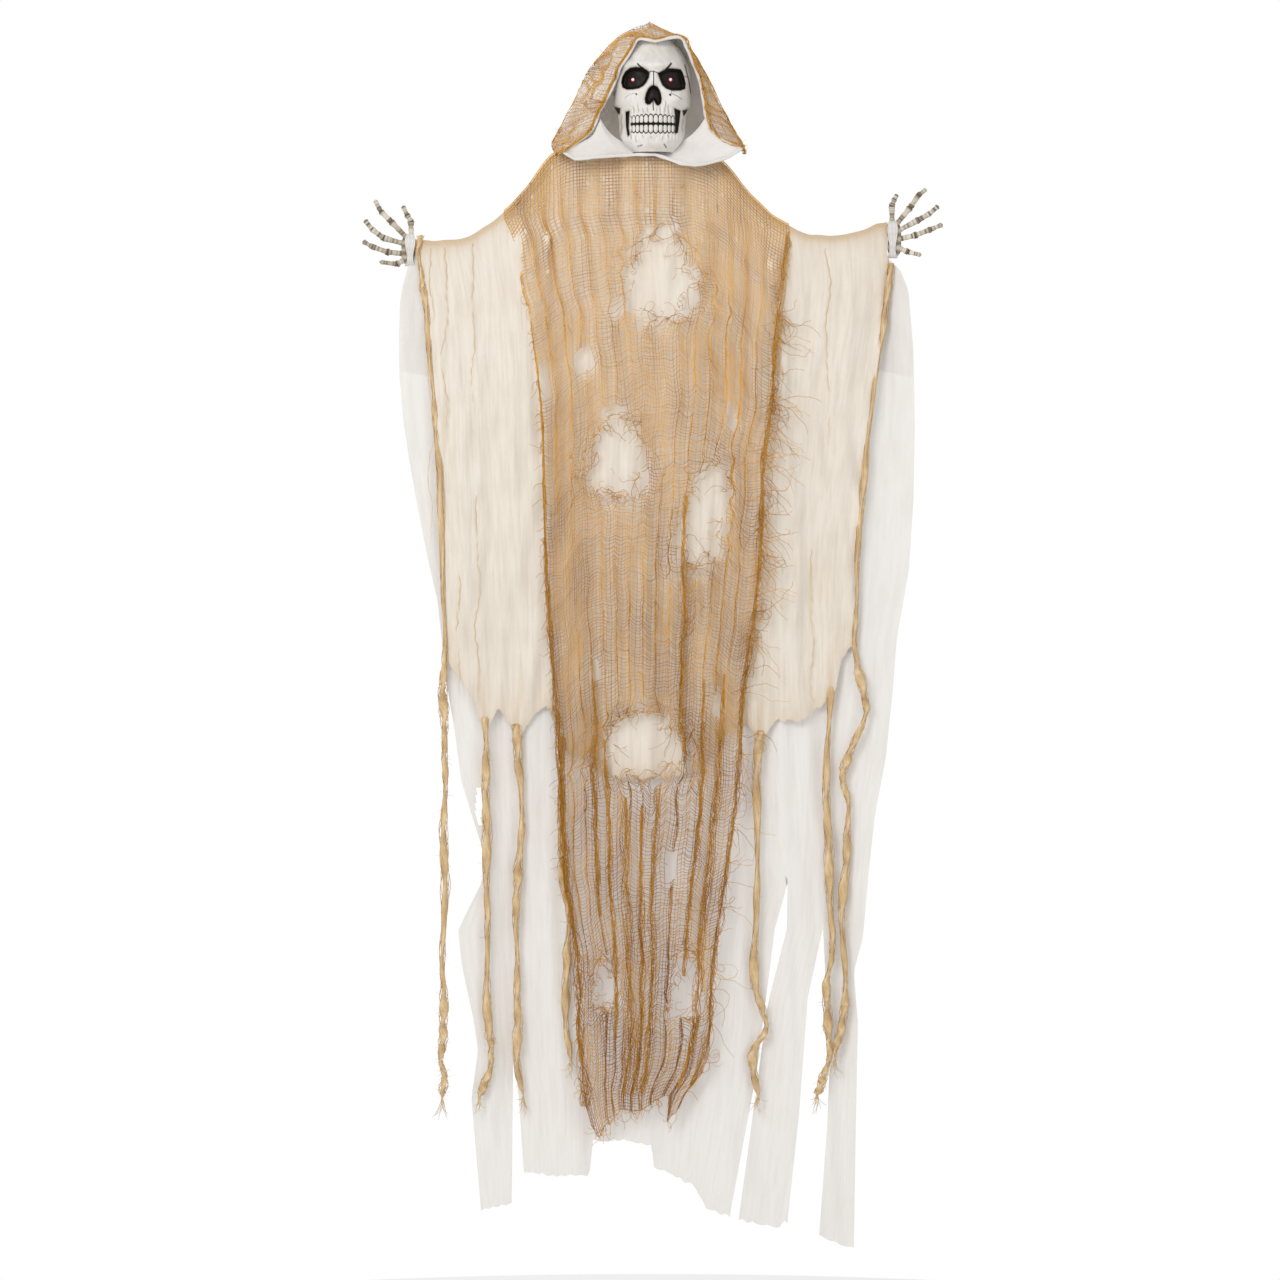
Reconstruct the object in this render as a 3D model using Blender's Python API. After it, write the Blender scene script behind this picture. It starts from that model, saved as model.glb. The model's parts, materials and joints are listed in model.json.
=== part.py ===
"""Hanging reaper: a lit skull in a lined hood, wire arms with skeleton hands, and torn cloth.

Lengths are millimetres until a mesh is made, then metres. +Z is up, the face looks along -Y, and the
origin is the centre of the hanging eye. Every cloth is a grid of column lines and rows: its points are
worked out as arrays, and its holes, slits and strands are cells left out of the grid.
"""
import math

import bmesh
import bpy
import numpy as np
from mathutils import Vector

MM = 0.001

# Clearances and walls
GAP = 0.3
LAYER_GAP = 0.7
CLOTH = 1.0
NET = 1.2
SHELL = 2.2

# Head
SEAM_Y = -14.0
HEAD_X = 2.0
LED_R = 2.5
LED_OUT = 3.0
LED_IN = 6.0
LED_LEFT = (-27.0, -81.0)
LED_RIGHT = (29.0, -81.0)
LEAD_R = 0.7
TOOTH = 6.9
TEETH_PER_ROW = 10
JAW_HALF = 50.0
NECK_R = 13.7
NECK_BOTTOM = -196.0
NECK_TOP = -141.0
JAW_CUT = 27.0

# Skull sections from the crown down: height, half width, depth of the face in front of the seam
FACE = [(-10, 1.5, 1.5), (-11.5, 12, 14), (-15, 22, 28), (-22, 32, 42), (-31, 41, 51), (-42, 48, 56),
        (-54, 53, 60), (-62, 56, 62), (-75, 58, 60), (-90, 58, 60), (-105, 58, 61), (-117, 58, 61),
        (-127, 52, 62), (-140, 50, 63), (-160, 49, 62), (-171, 45, 60), (-181, 38, 56), (-189, 29, 48)]
# The same for the rear half, ending in the half-round neck seat
REAR = [(-10, 1.5, 1.5), (-11.5, 12, 11), (-15, 22, 20), (-22, 32, 32), (-36, 44.2, 47), (-52, 52, 57),
        (-75, 58, 63), (-100, 57, 58), (-120, 52, 47), (-132, 42, 33), (-139, 26, 22)]
SEAT_LENGTH = 12.0

# Hanging eye
EYE_RING = 3.0
EYE_ROD = 1.0
EYE_SHANK = 1.2
EYE_NUT = 4.0
EYE_NUT_TOP = -17.3
EYE_NUT_THICK = 2.5

# Battery box in the back of the head, made for two small cells side by side
CELL_R = 5.25
CELL_LENGTH = 44.5
CONTACT = 0.8
BOX_WALL = 1.6
BOX_Z = -75.0
COVER_Y = 51.0
COVER = 1.6
SWITCH_ROOM = 7.0
SWITCH_TRAVEL = 3.0
KNOB = (4.0, 3.0)
KNOB_FLANGE = (8.0, 5.0, 1.2)
KNOB_PROUD = 1.4
SCREW_R = 1.2
SCREW_LENGTH = 8.5
SCREW_HEAD = (2.4, 1.3)
SCREW_IN = 8.25
SWITCH_IN = 17.25
THROUGH = 5.0

# Arms
WIRE_R = 2.0
ARM_SPAN = (-352.0, 353.0)
STATIONS = 24
WIRE_PATH = [(-365, -320), (-352, -320), (-337, -325), (-312, -331), (-280, -316), (-263, -314),
             (-240, -303), (-222, -283), (-198, -262), (-179, -240), (-161, -218), (-146, -196),
             (-120, -184), (-60, -180), (60, -180), (85, -188), (113, -216), (142, -250), (172, -282),
             (201, -301), (237, -314), (271, -320), (297, -315), (330, -302), (353, -294), (368, -294)]

# Hood, each point as x, y, z, from the lower corner up to the top: opening edge, outline, back
RIM_LEFT = [(-130, -54, -189), (-103, -50, -169), (-87, -46, -153), (-76, -44, -126), (-67, -44, -110),
            (-52, -48, -80), (-46, -57, -64), (-30, -66, -40), (-19, -71, -23), (6, -73, -26)]
RIM_RIGHT = [(134, -54, -184), (106, -50, -172), (92, -46, -158), (82, -42, -135), (78, -40, -110),
             (72, -42, -80), (63, -50, -58), (54, -60, -37), (42, -71, -20), (6, -73, -26)]
SIDE_LEFT = [(-140, -43, -193), (-150, -38, -178), (-142, -34, -164), (-134, -24, -149), (-115, -14, -110),
             (-97, -14, -70), (-84, -14, -52), (-72, -16, -38), (-48, -20, -13), (-3, -26, 6.5)]
SIDE_RIGHT = [(138, -43, -191), (140, -38, -182), (134, -34, -172), (126, -24, -157), (110, -14, -128),
              (93, -14, -92), (80, -14, -66), (67, -16, -44), (43, -20, -16), (-3, -26, 6.5)]
BACK_LOW = (0, 70, -150)
BACK_HIGH = (0, 64, -36)
HOOD_ROWS = 9
HOOD_FRONT_COLUMNS = 3
HOOD_BACK_COLUMNS = 5
RIDGE_LEAN = (0.65, 1.3)
COLLAR_COLUMNS = 12
COLLAR_ROWS = 3
COLLAR_LOW = -194.0
COLLAR_HEM = [(-130, -189), (-113, -200), (-72, -196), (-52, -195), (-19, -193), (6, -193), (22, -198),
              (43, -206), (64, -209), (85, -206), (115, -197), (134, -184)]

# Cloth spreading away from the wire below the arms, by layer
SPREAD_WHITE = 6.0
SPREAD_CREAM = 16.0
SPREAD_NET = 28.0
SPREAD_DEPTH = 250.0
# Depths below the wire at which every front cloth, and every back cloth, has a row
FRONT_DROPS = (0.0, 50.0, 120.0, 240.0)
BACK_DROPS = (0.0, 50.0, 200.0)
ROLL_ANGLES = (0.0, 52.0)
NECK_BULGE = 16.0
FOLD = 4.0
FOLD_PERIOD = 118.0
GATHER = 2.0
GATHER_PERIOD = 47.0

# Outlines of the cloths on the front view, as height and side
WHITE_LEFT = [(-371, -352), (-385, -366), (-408, -374), (-468, -377), (-520, -376), (-587, -370),
              (-647, -361), (-721, -348), (-796, -333), (-856, -319), (-976, -306), (-1039, -295),
              (-1126, -283), (-1175, -268), (-1227, -251), (-1276, -252), (-1319, -274), (-1349, -288),
              (-1398, -283), (-1481, -265), (-1528, -258), (-1598, -268), (-1767, -254)]
WHITE_RIGHT = [(-345, 353), (-360, 372), (-393, 385), (-483, 392), (-602, 394), (-706, 392), (-811, 385),
               (-915, 367), (-990, 361), (-1088, 351), (-1178, 334), (-1261, 325), (-1361, 316),
               (-1410, 303), (-1486, 309), (-1643, 306), (-1824, 303)]
SLIT_X = (-278.5, 162.0, 279.5)
WHITE_SLITS = [(-1546, [(-1546, -206), (-1755, -208)], [(-1546, -206), (-1589, -198), (-1712, -190)]),
               (-1278, [(-1278, 204), (-1346, 185), (-1560, 158), (-1771, 118)],
                [(-1278, 204), (-1346, 203), (-1457, 175), (-1780, 131)]),
               (-1345, [(-1345, 257), (-1449, 234), (-1624, 221), (-1783, 204)],
                [(-1345, 257), (-1449, 262), (-1548, 267), (-1643, 263), (-1804, 251)])]
WHITE_BOTTOM = [(-254, -1767), (-208, -1755), (-190, -1712), (-94, -1716), (-91, -1661), (-7, -1667),
                (-1, -1703), (60, -1728), (84, -1764), (118, -1773), (131, -1780), (195, -1794),
                (204, -1783), (251, -1804), (303, -1824)]
WHITE_BACK_BOTTOM = -517.0
CREAM_LEFT = [(-320, -352), (-408, -337), (-527, -327), (-632, -321), (-796, -313), (-915, -310)]
CREAM_RIGHT = [(-320, 353), (-386, 355), (-438, 348), (-535, 334), (-587, 327), (-677, 316), (-766, 309),
               (-856, 306), (-915, 306)]
CREAM_HEM = [-975, -975, -985, -1024, -1024, -1030, -1012, -1040, -1060, -1090, -1110, -1125, -1125,
             -1125, -1125, -1110, -1090, -1060, -1039, -1036, -1030, -1010, -958, -935, -915]
CREAM_BACK_BOTTOM = -930.0
STRAND_WIDTH = 8.0
STRAND_THICK = 6.0
STRAND_ROWS = 7
# Each strand: the grid column that it continues, and its centre line as height and side
STRANDS = [[(-1000, -310), (-1300, -309), (-1589, -311)],
           [(-1060, -246), (-1489, -243), (-1522, -238), (-1597, -257)],
           [(-1070, -200), (-1184, -194), (-1303, -201), (-1597, -192)],
           [(-1070, -134), (-1270, -131), (-1334, -122), (-1475, -127), (-1543, -121)],
           [(-1070, 162), (-1115, 158), (-1339, 157), (-1425, 154), (-1494, 173), (-1528, 149),
            (-1597, 160)],
           [(-985, 254), (-1040, 266), (-1097, 261), (-1243, 265), (-1376, 270), (-1434, 261),
            (-1533, 267), (-1594, 249)],
           [(-960, 303), (-1014, 321), (-1115, 285), (-1164, 295), (-1319, 285), (-1410, 289),
            (-1472, 289), (-1534, 274)]]
NET_LEFT = [(-313, -206), (-354, -201), (-392, -195), (-417, -183), (-504, -172), (-557, -166), (-662, -161),
            (-856, -154), (-1049, -137), (-1251, -133), (-1327, -121), (-1378, -109), (-1576, -104),
            (-1619, -92), (-1659, -84)]
NET_RIGHT = [(-328, 204), (-347, 201), (-404, 198), (-441, 191), (-466, 186), (-557, 185), (-632, 170),
             (-736, 166), (-856, 157), (-967, 140), (-1054, 134), (-1152, 128), (-1233, 118), (-1322, 103),
             (-1413, 92), (-1522, 85), (-1554, 78), (-1591, 45), (-1637, 34)]
NET_BOTTOM = [(-88, -1650), (-70, -1628), (-45, -1613), (-13, -1616), (3, -1604), (24, -1590), (34, -1632)]
NET_ROWS = 18
# Big torn holes in the net: centre side and height, half width, half height, lean
NET_HOLES = [(15, -372, 30, 62, 0.0), (-48, -640, 34, 58, 0.0), (80, -728, 24, 76, -0.18),
             (-10, -1070, 44, 50, 0.0), (-69, -1428, 13, 40, 0.0), (54, -1428, 15, 50, 0.0)]

# Hands: each finger from its tip to its root, as side, height
LEFT_FINGERS = [[(-371, -266), (-365, -279), (-359, -289), (-358, -322)],
                [(-413, -257), (-404, -274), (-389, -289), (-360, -319)],
                [(-428, -287), (-417, -301), (-400, -314), (-363, -324)],
                [(-431, -319), (-417, -327), (-394, -335), (-363, -338)],
                [(-406, -350), (-380, -353), (-361, -342)]]
RIGHT_FINGERS = [[(368, -249), (364, -256), (360, -266), (361, -306)],
                 [(412, -241), (400, -250), (388, -268), (364, -297)],
                 [(430, -266), (416, -278), (400, -287), (364, -306)],
                 [(436, -294), (419, -301), (395, -310), (364, -317)],
                 [(404, -340), (385, -335), (364, -326)]]
LEFT_PALM_Z = -332.0
RIGHT_PALM_Z = -316.0
LEFT_PALM_HALF = 22.0
RIGHT_PALM_HALF = 26.0
PALM_DEPTH = 8.0
PALM_LENGTH = 20.0
WIRE_IN_PALM = 11.0
BONE_R = 2.7
KNUCKLE = 1.45
CURL = 7.0
CUFF_LENGTH = 10.0
CUFF_SIDES = 16


# Materials

def material(name, colour, roughness, metallic=0.0):
    """Return a new Principled material in linear colour."""
    made = bpy.data.materials.new(name)
    made.use_nodes = True
    shader = made.node_tree.nodes["Principled BSDF"]
    shader.inputs["Base Color"].default_value = (*colour, 1.0)
    shader.inputs["Roughness"].default_value = roughness
    shader.inputs["Metallic"].default_value = metallic
    return made


# Meshes

def make_object(name, verts, faces, finish, smooth=False):
    """Make an object from points in millimetres; faces look outwards."""
    mesh = bpy.data.meshes.new(name)
    mesh.from_pydata([tuple(np.asarray(v) * MM) for v in verts], [], [tuple(f) for f in faces])
    mesh.materials.append(finish)
    if smooth:
        mesh.shade_smooth()
    made = bpy.data.objects.new(name, mesh)
    bpy.context.scene.collection.objects.link(made)
    return made


def grid_quads(alive, flip=False):
    """Cells of a grid of rows and columns as corner indices, facing -Y when x grows with the column."""
    lines = alive.shape[1] + 1
    quads = []
    for j, k in zip(*np.nonzero(alive)):
        first = j * lines + k
        quad = (first, first + lines, first + lines + 1, first + 1)
        quads.append(quad[::-1] if flip else quad)
    return quads


def mend_corners(alive):
    """Fill one cell wherever two cells would meet only at a corner."""
    alive = alive.copy()
    changed = True
    while changed:
        down = alive[:-1, :-1] & alive[1:, 1:] & ~alive[:-1, 1:] & ~alive[1:, :-1]
        up = alive[:-1, 1:] & alive[1:, :-1] & ~alive[:-1, :-1] & ~alive[1:, 1:]
        changed = bool(down.any() or up.any())
        alive[:-1, 1:] |= down
        alive[:-1, :-1] |= up
    return alive


def shell(name, outer, inner, quads, finish, smooth=True):
    """Close a sheet: its outer side, its inner side and a wall along every open edge."""
    outer = np.asarray(outer, float).reshape(-1, 3)
    inner = np.asarray(inner, float).reshape(-1, 3)
    used = sorted({i for quad in quads for i in quad})
    place = {old: new for new, old in enumerate(used)}
    count = len(used)
    faces = []
    edges = set()
    for quad in quads:
        a, b, c, d = (place[i] for i in quad)
        faces += [(a, b, c), (a, c, d), (count + c, count + b, count + a), (count + d, count + c, count + a)]
        edges |= {(a, b), (b, c), (c, d), (d, a)}
    for a, b in sorted(edges):
        if (b, a) not in edges:
            faces += [(b, a, count + a), (b, count + a, count + b)]
    return make_object(name, np.vstack([outer[used], inner[used]]), faces, finish, smooth)


def tube(name, path, radii, finish, sides=6, depth_scale=1.0):
    """A closed tube of the given radii along a path, its section flattened in Y by depth_scale."""
    path = np.asarray(path, float)
    radii = np.broadcast_to(np.asarray(radii, float), len(path))
    tangent = np.gradient(path, axis=0)
    tangent /= np.linalg.norm(tangent, axis=1)[:, None]
    across = (0.0, 1.0, 0.0) if np.abs(tangent[:, 1]).max() < 0.9 else (0.0, 0.0, 1.0)
    side = np.cross(tangent, across)
    side /= np.linalg.norm(side, axis=1)[:, None]
    rise = np.cross(tangent, side)
    angle = np.arange(sides) * 2 * math.pi / sides
    ring = np.cos(angle)[None, :, None] * side[:, None] + np.sin(angle)[None, :, None] * rise[:, None]
    ring[..., 1] *= depth_scale
    verts = (path[:, None] + ring * radii[:, None, None]).reshape(-1, 3)
    faces = [tuple(range(sides)), tuple(range(len(path) * sides - 1, (len(path) - 1) * sides - 1, -1))]
    for j in range(len(path) - 1):
        for i in range(sides):
            a, b = j * sides + i, j * sides + (i + 1) % sides
            faces.append((b, a, a + sides, b + sides))
    return oriented(make_object(name, verts, faces, finish, True))


def block(name, low, high, finish):
    """A plain box between two corners."""
    low, high = np.asarray(low, float), np.asarray(high, float)
    pick = [(0, 0, 0), (1, 0, 0), (1, 1, 0), (0, 1, 0), (0, 0, 1), (1, 0, 1), (1, 1, 1), (0, 1, 1)]
    faces = [(3, 2, 1, 0), (4, 5, 6, 7), (0, 1, 5, 4), (1, 2, 6, 5), (2, 3, 7, 6), (3, 0, 4, 7)]
    return make_object(name, [np.where(p, high, low) for p in pick], faces, finish)


def turned(name, profile, centre, axis, finish, sides=16):
    """A solid turned from (radius, distance along the axis) points; it closes where the radius is 0."""
    turn = Vector((0, 0, 1)).rotation_difference(Vector(axis)).to_matrix()
    verts, rings = [], []
    for radius, along in profile:
        number = 1 if radius == 0 else sides
        rings.append(range(len(verts), len(verts) + number))
        for i in range(number):
            angle = 2 * math.pi * i / sides
            verts.append(turn @ Vector((radius * math.cos(angle), radius * math.sin(angle), along))
                         + Vector(centre))
    faces = []
    for low, high in zip(rings, rings[1:]):
        for i in range(sides):
            n = (i + 1) % sides
            corners = [low[i % len(low)], low[n % len(low)], high[n % len(high)], high[i % len(high)]]
            faces.append(tuple(dict.fromkeys(corners)))
    return oriented(make_object(name, verts, faces, finish))


def oriented(made):
    """Turn every face outwards."""
    work = bmesh.new()
    work.from_mesh(made.data)
    bmesh.ops.recalc_face_normals(work, faces=work.faces)
    if work.calc_volume(signed=True) < 0:
        bmesh.ops.reverse_faces(work, faces=work.faces)
    work.to_mesh(made.data)
    work.free()
    return made


def combine(target, other, operation):
    """Cut or join another object, which becomes a hidden tool."""
    other.hide_render = True
    other.display_type = "WIRE"
    change = target.modifiers.new(other.name, "BOOLEAN")
    change.operation = operation
    change.object = other
    change.solver = "EXACT"
    return target


# Head

def smooth(value, low, high):
    """Smooth step from 0 at low to 1 at high."""
    t = np.clip((value - low) / (high - low), 0.0, 1.0)
    return t * t * (3 - 2 * t)


def pit(x, z, centre, half, edge=0.25):
    """1 inside a rounded box, 0 outside it, with a soft edge."""
    far = (np.abs((x - centre[0]) / half[0]) ** 3 + np.abs((z - centre[1]) / half[1]) ** 3) ** (1 / 3)
    return 1 - smooth(far, 1 - edge, 1 + edge * 0.4)


def relief(x, z):
    """Height of the carved face over the plain skull, positive towards the viewer."""
    x = np.asarray(x, float) - HEAD_X
    z = np.asarray(z, float)
    brow = 4.0 * np.exp(-((z + 61 - 0.1 * np.abs(x)) / 6) ** 2) * smooth(np.abs(x), 52, 40)
    bridge = 6.0 * np.exp(-(x / 7) ** 2) * smooth(z, -98, -84) * smooth(z, -68, -76)
    cheek = 4.5 * np.exp(-((np.abs(x) - 40) / 11) ** 2 - ((z + 110) / 9) ** 2)
    sockets = 15.0 * (pit(x, z, (-25.5, -80), (22, 16)) + pit(x, z, (29.5, -81), (21, 17)))
    nose = 11.0 * pit(x, z, (0, -108), (11.5, 15))
    hollow = 9.0 * (pit(x, z, (-39, -144), (5, 19)) + pit(x, z, (38, -144), (5, 19)))
    phase = np.abs(np.sin(math.pi * x / TOOTH))
    in_mouth = smooth(z, -163, -159) * smooth(z, -133, -137) * smooth(np.abs(x), 36, 34)
    bite = np.exp(-((z + 149) / 1.6) ** 2)
    teeth = in_mouth * (3.0 * phase * (1 - bite) - 1.5)
    chin = 3.0 * np.exp(-(x / 20) ** 2 - ((z + 176) / 8) ** 2)
    return brow + bridge + cheek + teeth + chin - np.minimum(sockets, 15) - nose - hollow


def skull_section(table, z):
    """Half width and depth of the skull at a height."""
    table = np.asarray(table, float)[::-1]
    return np.interp(z, table[:, 0], table[:, 1]), np.interp(z, table[:, 0], table[:, 2])


def face_edge(z):
    """Rear edge of the face: the seam, and further forward under the jaw, clear of the arm wire."""
    return SEAM_Y - GAP / 2 - JAW_CUT * smooth(z, -150, -174)


def face_y(x, z):
    """Front surface of the face at a point of the front view."""
    half, depth = skull_section(FACE, z)
    share = np.clip((np.asarray(x) - HEAD_X) / half, -1, 1)
    edge = face_edge(z)
    front = SEAM_Y - depth
    return edge + (front - edge) * np.sqrt(1 - share ** 2) - relief(x, z)


def skull_face(finish):
    """Front half of the skull, open at the back and under the jaw."""
    tooth_lines = np.arange(-TEETH_PER_ROW, TEETH_PER_ROW + 1) * TOOTH / 2 / JAW_HALF
    outer_lines = np.array([0.84, 1.0])
    share = np.concatenate([-outer_lines[::-1], tooth_lines, outer_lines])[None, :]
    z = np.array([-10, -12, -21, -34, -50, -62, -66, -73, -81, -89, -95, -99, -107, -114, -121,
                  -128, -134, -137, -143, -149, -155, -161, -164, -172, -181, -189])[:, None]
    half, depth = skull_section(FACE, z)
    x = HEAD_X + half * share
    edge = face_edge(z)
    y = edge + (SEAM_Y - depth - edge) * np.sqrt(1 - share ** 2) - relief(x, z) * smooth(np.abs(share), 1, 0.93)
    z = z + 0 * x
    side = smooth(np.abs(share), 0.86, 1.0)
    top = smooth(z, -34, -10)
    inner_y = np.minimum(y + SHELL * (1 - side) * (1 - top), edge)
    inner_x = HEAD_X + (x - HEAD_X) * (1 - side * SHELL / np.maximum(half, 2 * SHELL))
    inner_z = z - SHELL * top * (1 + side)
    outer = np.stack([x, y, z], -1)
    inner = np.stack([inner_x, inner_y, inner_z], -1)
    made = shell("skull_face", outer, inner, grid_quads(np.ones((len(z) - 1, share.size - 1), bool)), finish)
    for number, (led_x, led_z) in enumerate((LED_LEFT, LED_RIGHT)):
        hole = turned(f"led_hole_{number}", [(0, -20), (LED_R + GAP, -20), (LED_R + GAP, 20), (0, 20)],
                      (led_x, float(face_y(led_x, led_z)), led_z), (0, 1, 0), finish, 12)
        combine(made, hole, "DIFFERENCE")
    return made


def skull_back(finish):
    """Rear half of the skull with the half-round neck seat and the window for the battery box."""
    seat = NECK_R + GAP + SHELL
    rows = REAR + [(NECK_TOP, seat, seat), (NECK_TOP - SEAT_LENGTH, seat, seat)]
    z = np.array([row[0] for row in rows], float)[:, None]
    half = np.array([row[1] for row in rows], float)[:, None]
    depth = np.array([row[2] for row in rows], float)[:, None]
    angle = np.linspace(-math.pi / 2, math.pi / 2, 12)[None, :]
    base = SEAM_Y + GAP / 2
    x = HEAD_X * smooth(z, NECK_TOP, NECK_TOP + 30) + half * np.sin(angle)
    y = base + depth * np.cos(angle)
    top = smooth(z, -34, -10)
    low = smooth(z, -128, -136) * smooth(z, NECK_TOP - 2, NECK_TOP)
    wall = SHELL * (1 - 0.9 * top) * (1 - 0.5 * low)
    inner_x = x - np.minimum(wall, half * 0.5) * np.sin(angle)
    inner_y = np.maximum(y - np.minimum(wall, depth * 0.5) * np.cos(angle), base)
    inner_z = z - SHELL * top + SHELL * low + 0 * x
    made = shell("skull_back", np.stack([x, y, z + 0 * x], -1), np.stack([inner_x, inner_y, inner_z], -1),
                 grid_quads(np.ones((len(rows) - 1, angle.size - 1), bool), True), finish)
    low_corner, high_corner = box_corners()
    window = block("box_window", low_corner - GAP, high_corner + (GAP, 20, GAP), finish)
    combine(made, window, "DIFFERENCE")
    hole = turned("shank_hole", [(0, -30), (EYE_SHANK + GAP, -30), (EYE_SHANK + GAP, 5), (0, 5)],
                  (0, 0, 0), (0, 0, 1), finish, 12)
    combine(made, hole, "DIFFERENCE")
    return made


def eye_lights(finish, lead):
    """The two red lights in the sockets and their leads to the battery box."""
    front_of_box = box_corners()[0][1]
    for name, (x, z) in (("left", LED_LEFT), ("right", LED_RIGHT)):
        surface = float(face_y(x, z))
        tip, tail = surface - LED_OUT, surface + LED_IN
        round_off = [(LED_R * math.sin(a), LED_R * (1 - math.cos(a))) for a in (0.0, 0.6, 1.1, math.pi / 2)]
        profile = round_off + [(LED_R, tail - tip), (0, tail - tip)]
        turned(f"{name}_eye_led", profile, (x, tip, z), (0, 1, 0), finish, 12)
        start = np.array([x, tail + GAP, z])
        end = np.array([x * 0.6, front_of_box - GAP, BOX_Z + 3])
        straight = np.array([0.0, 2.5, 0.0])
        t = np.linspace(0, 1, 7)[:, None]
        sag = np.array([0, 0, -9.0]) * np.sin(math.pi * t) ** 2
        route = start + straight + (end - start - 2 * straight) * (3 * t ** 2 - 2 * t ** 3 + t) / 2 + sag
        tube(f"{name}_led_wire", np.vstack([start, route, end]), LEAD_R, lead, 5)


def hanging_eye(finish):
    """Ring and shank through the crown with a flat nut inside."""
    bpy.ops.mesh.primitive_torus_add(major_radius=EYE_RING * MM, minor_radius=EYE_ROD * MM,
                                     major_segments=16, minor_segments=6, rotation=(math.pi / 2, 0, 0))
    made = bpy.context.object
    made.name = made.data.name = "hanging_eye"
    made.data.materials.append(finish)
    nut_low = EYE_NUT_TOP - EYE_NUT_THICK
    profile = [(0, nut_low), (EYE_NUT, nut_low), (EYE_NUT, EYE_NUT_TOP), (EYE_SHANK, EYE_NUT_TOP),
               (EYE_SHANK, -EYE_RING), (0, -EYE_RING)]
    return combine(made, turned("eye_shank", profile, (0, 0, 0), (0, 0, 1), finish, 12), "UNION")


# Battery box

def box_inner():
    """Room for the cells between their contacts: length along x, height of both cells, depth."""
    return np.array([CELL_LENGTH + 2 * (CONTACT + 2 * GAP), 4 * CELL_R + 3 * GAP, 2 * CELL_R + 2 * GAP])


def box_corners():
    """Outer corners of the battery box, without its cover."""
    room = box_inner()
    half_x = room[0] / 2 + BOX_WALL
    height = room[1] + SWITCH_ROOM + 3 * BOX_WALL
    rear = COVER_Y - COVER - GAP
    low = np.array([-half_x, rear - room[2] - BOX_WALL, BOX_Z - height / 2])
    return low, np.array([half_x, rear, BOX_Z + height / 2])


def battery_unit(plastic, steel, cell_skin, black):
    """Box, cover, screw, two cells, contacts and the switch knob."""
    room = box_inner()
    low, high = box_corners()
    box = block("battery_box", low, high, plastic)
    cell_low = low + (BOX_WALL, BOX_WALL, BOX_WALL)
    pocket = block("cell_pocket", cell_low, (high[0] - BOX_WALL, high[1] + THROUGH, cell_low[2] + room[1]),
                   plastic)
    combine(box, pocket, "DIFFERENCE")
    row_z = high[2] - BOX_WALL - SWITCH_ROOM / 2
    screw_x = low[0] + SCREW_IN
    switch_x = high[0] - SWITCH_IN
    reach = KNOB_FLANGE[0] / 2 + SWITCH_TRAVEL + BOX_WALL
    recess = block("switch_pocket", (switch_x - reach, low[1] + BOX_WALL, row_z - SWITCH_ROOM / 2),
                   (switch_x + reach, high[1] + THROUGH, row_z + SWITCH_ROOM / 2), plastic)
    combine(box, recess, "DIFFERENCE")
    hole_r = SCREW_R + GAP
    bore = turned("screw_bore", [(0, -SCREW_LENGTH), (hole_r, -SCREW_LENGTH), (hole_r, THROUGH), (0, THROUGH)],
                  (screw_x, high[1], row_z), (0, 1, 0), plastic, 12)
    combine(box, bore, "DIFFERENCE")

    inside = high[1] + GAP
    cover = block("battery_cover", (low[0], inside, low[2]), (high[0], inside + COVER, high[2]), plastic)
    slot_half = KNOB[0] / 2 + GAP
    slot = block("switch_slot", (switch_x - slot_half - SWITCH_TRAVEL, inside - THROUGH,
                                 row_z - KNOB[1] / 2 - GAP),
                 (switch_x + slot_half, inside + THROUGH, row_z + KNOB[1] / 2 + GAP), plastic)
    combine(cover, slot, "DIFFERENCE")
    passage = turned("screw_passage", [(0, -THROUGH), (hole_r, -THROUGH), (hole_r, THROUGH), (0, THROUGH)],
                     (screw_x, inside + COVER / 2, row_z), (0, 1, 0), plastic, 12)
    combine(cover, passage, "DIFFERENCE")
    tip = GAP - SCREW_LENGTH
    turned("cover_screw", [(0, tip), (SCREW_R, tip), (SCREW_R, 0), (SCREW_HEAD[0], 0),
                           (SCREW_HEAD[0], SCREW_HEAD[1]), (0, SCREW_HEAD[1])],
           (screw_x, inside + COVER + GAP, row_z), (0, 1, 0), steel, 12)

    under = inside - GAP
    knob = block("switch_knob", (switch_x - KNOB[0] / 2, under - KNOB_FLANGE[2] / 2, row_z - KNOB[1] / 2),
                 (switch_x + KNOB[0] / 2, inside + COVER + KNOB_PROUD, row_z + KNOB[1] / 2), black)
    flange = block("knob_flange", (switch_x - KNOB_FLANGE[0] / 2, under - KNOB_FLANGE[2],
                                   row_z - KNOB_FLANGE[1] / 2),
                   (switch_x + KNOB_FLANGE[0] / 2, under, row_z + KNOB_FLANGE[1] / 2), black)
    combine(knob, flange, "UNION")

    for number in (1, 2):
        z = cell_low[2] + CELL_R + GAP + (number - 1) * (2 * CELL_R + GAP)
        turned(f"battery_{number}", [(0, 0), (CELL_R, 0), (CELL_R, CELL_LENGTH), (0, CELL_LENGTH)],
               (-CELL_LENGTH / 2, cell_low[1] + CELL_R + GAP, z), (1, 0, 0), cell_skin, 14)
    for name, side in (("left", -1), ("right", 1)):
        near = side * (CELL_LENGTH / 2 + GAP)
        far = near + side * CONTACT
        block(f"contact_plate_{name}", (min(near, far), cell_low[1] + GAP, cell_low[2] + GAP),
              (max(near, far), high[1] - GAP, cell_low[2] + room[1] - GAP), steel)


# Arms and hands

def stations():
    """Sides at which every cloth that hangs on the wire has a column line."""
    return np.linspace(*ARM_SPAN, STATIONS + 1)


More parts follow.
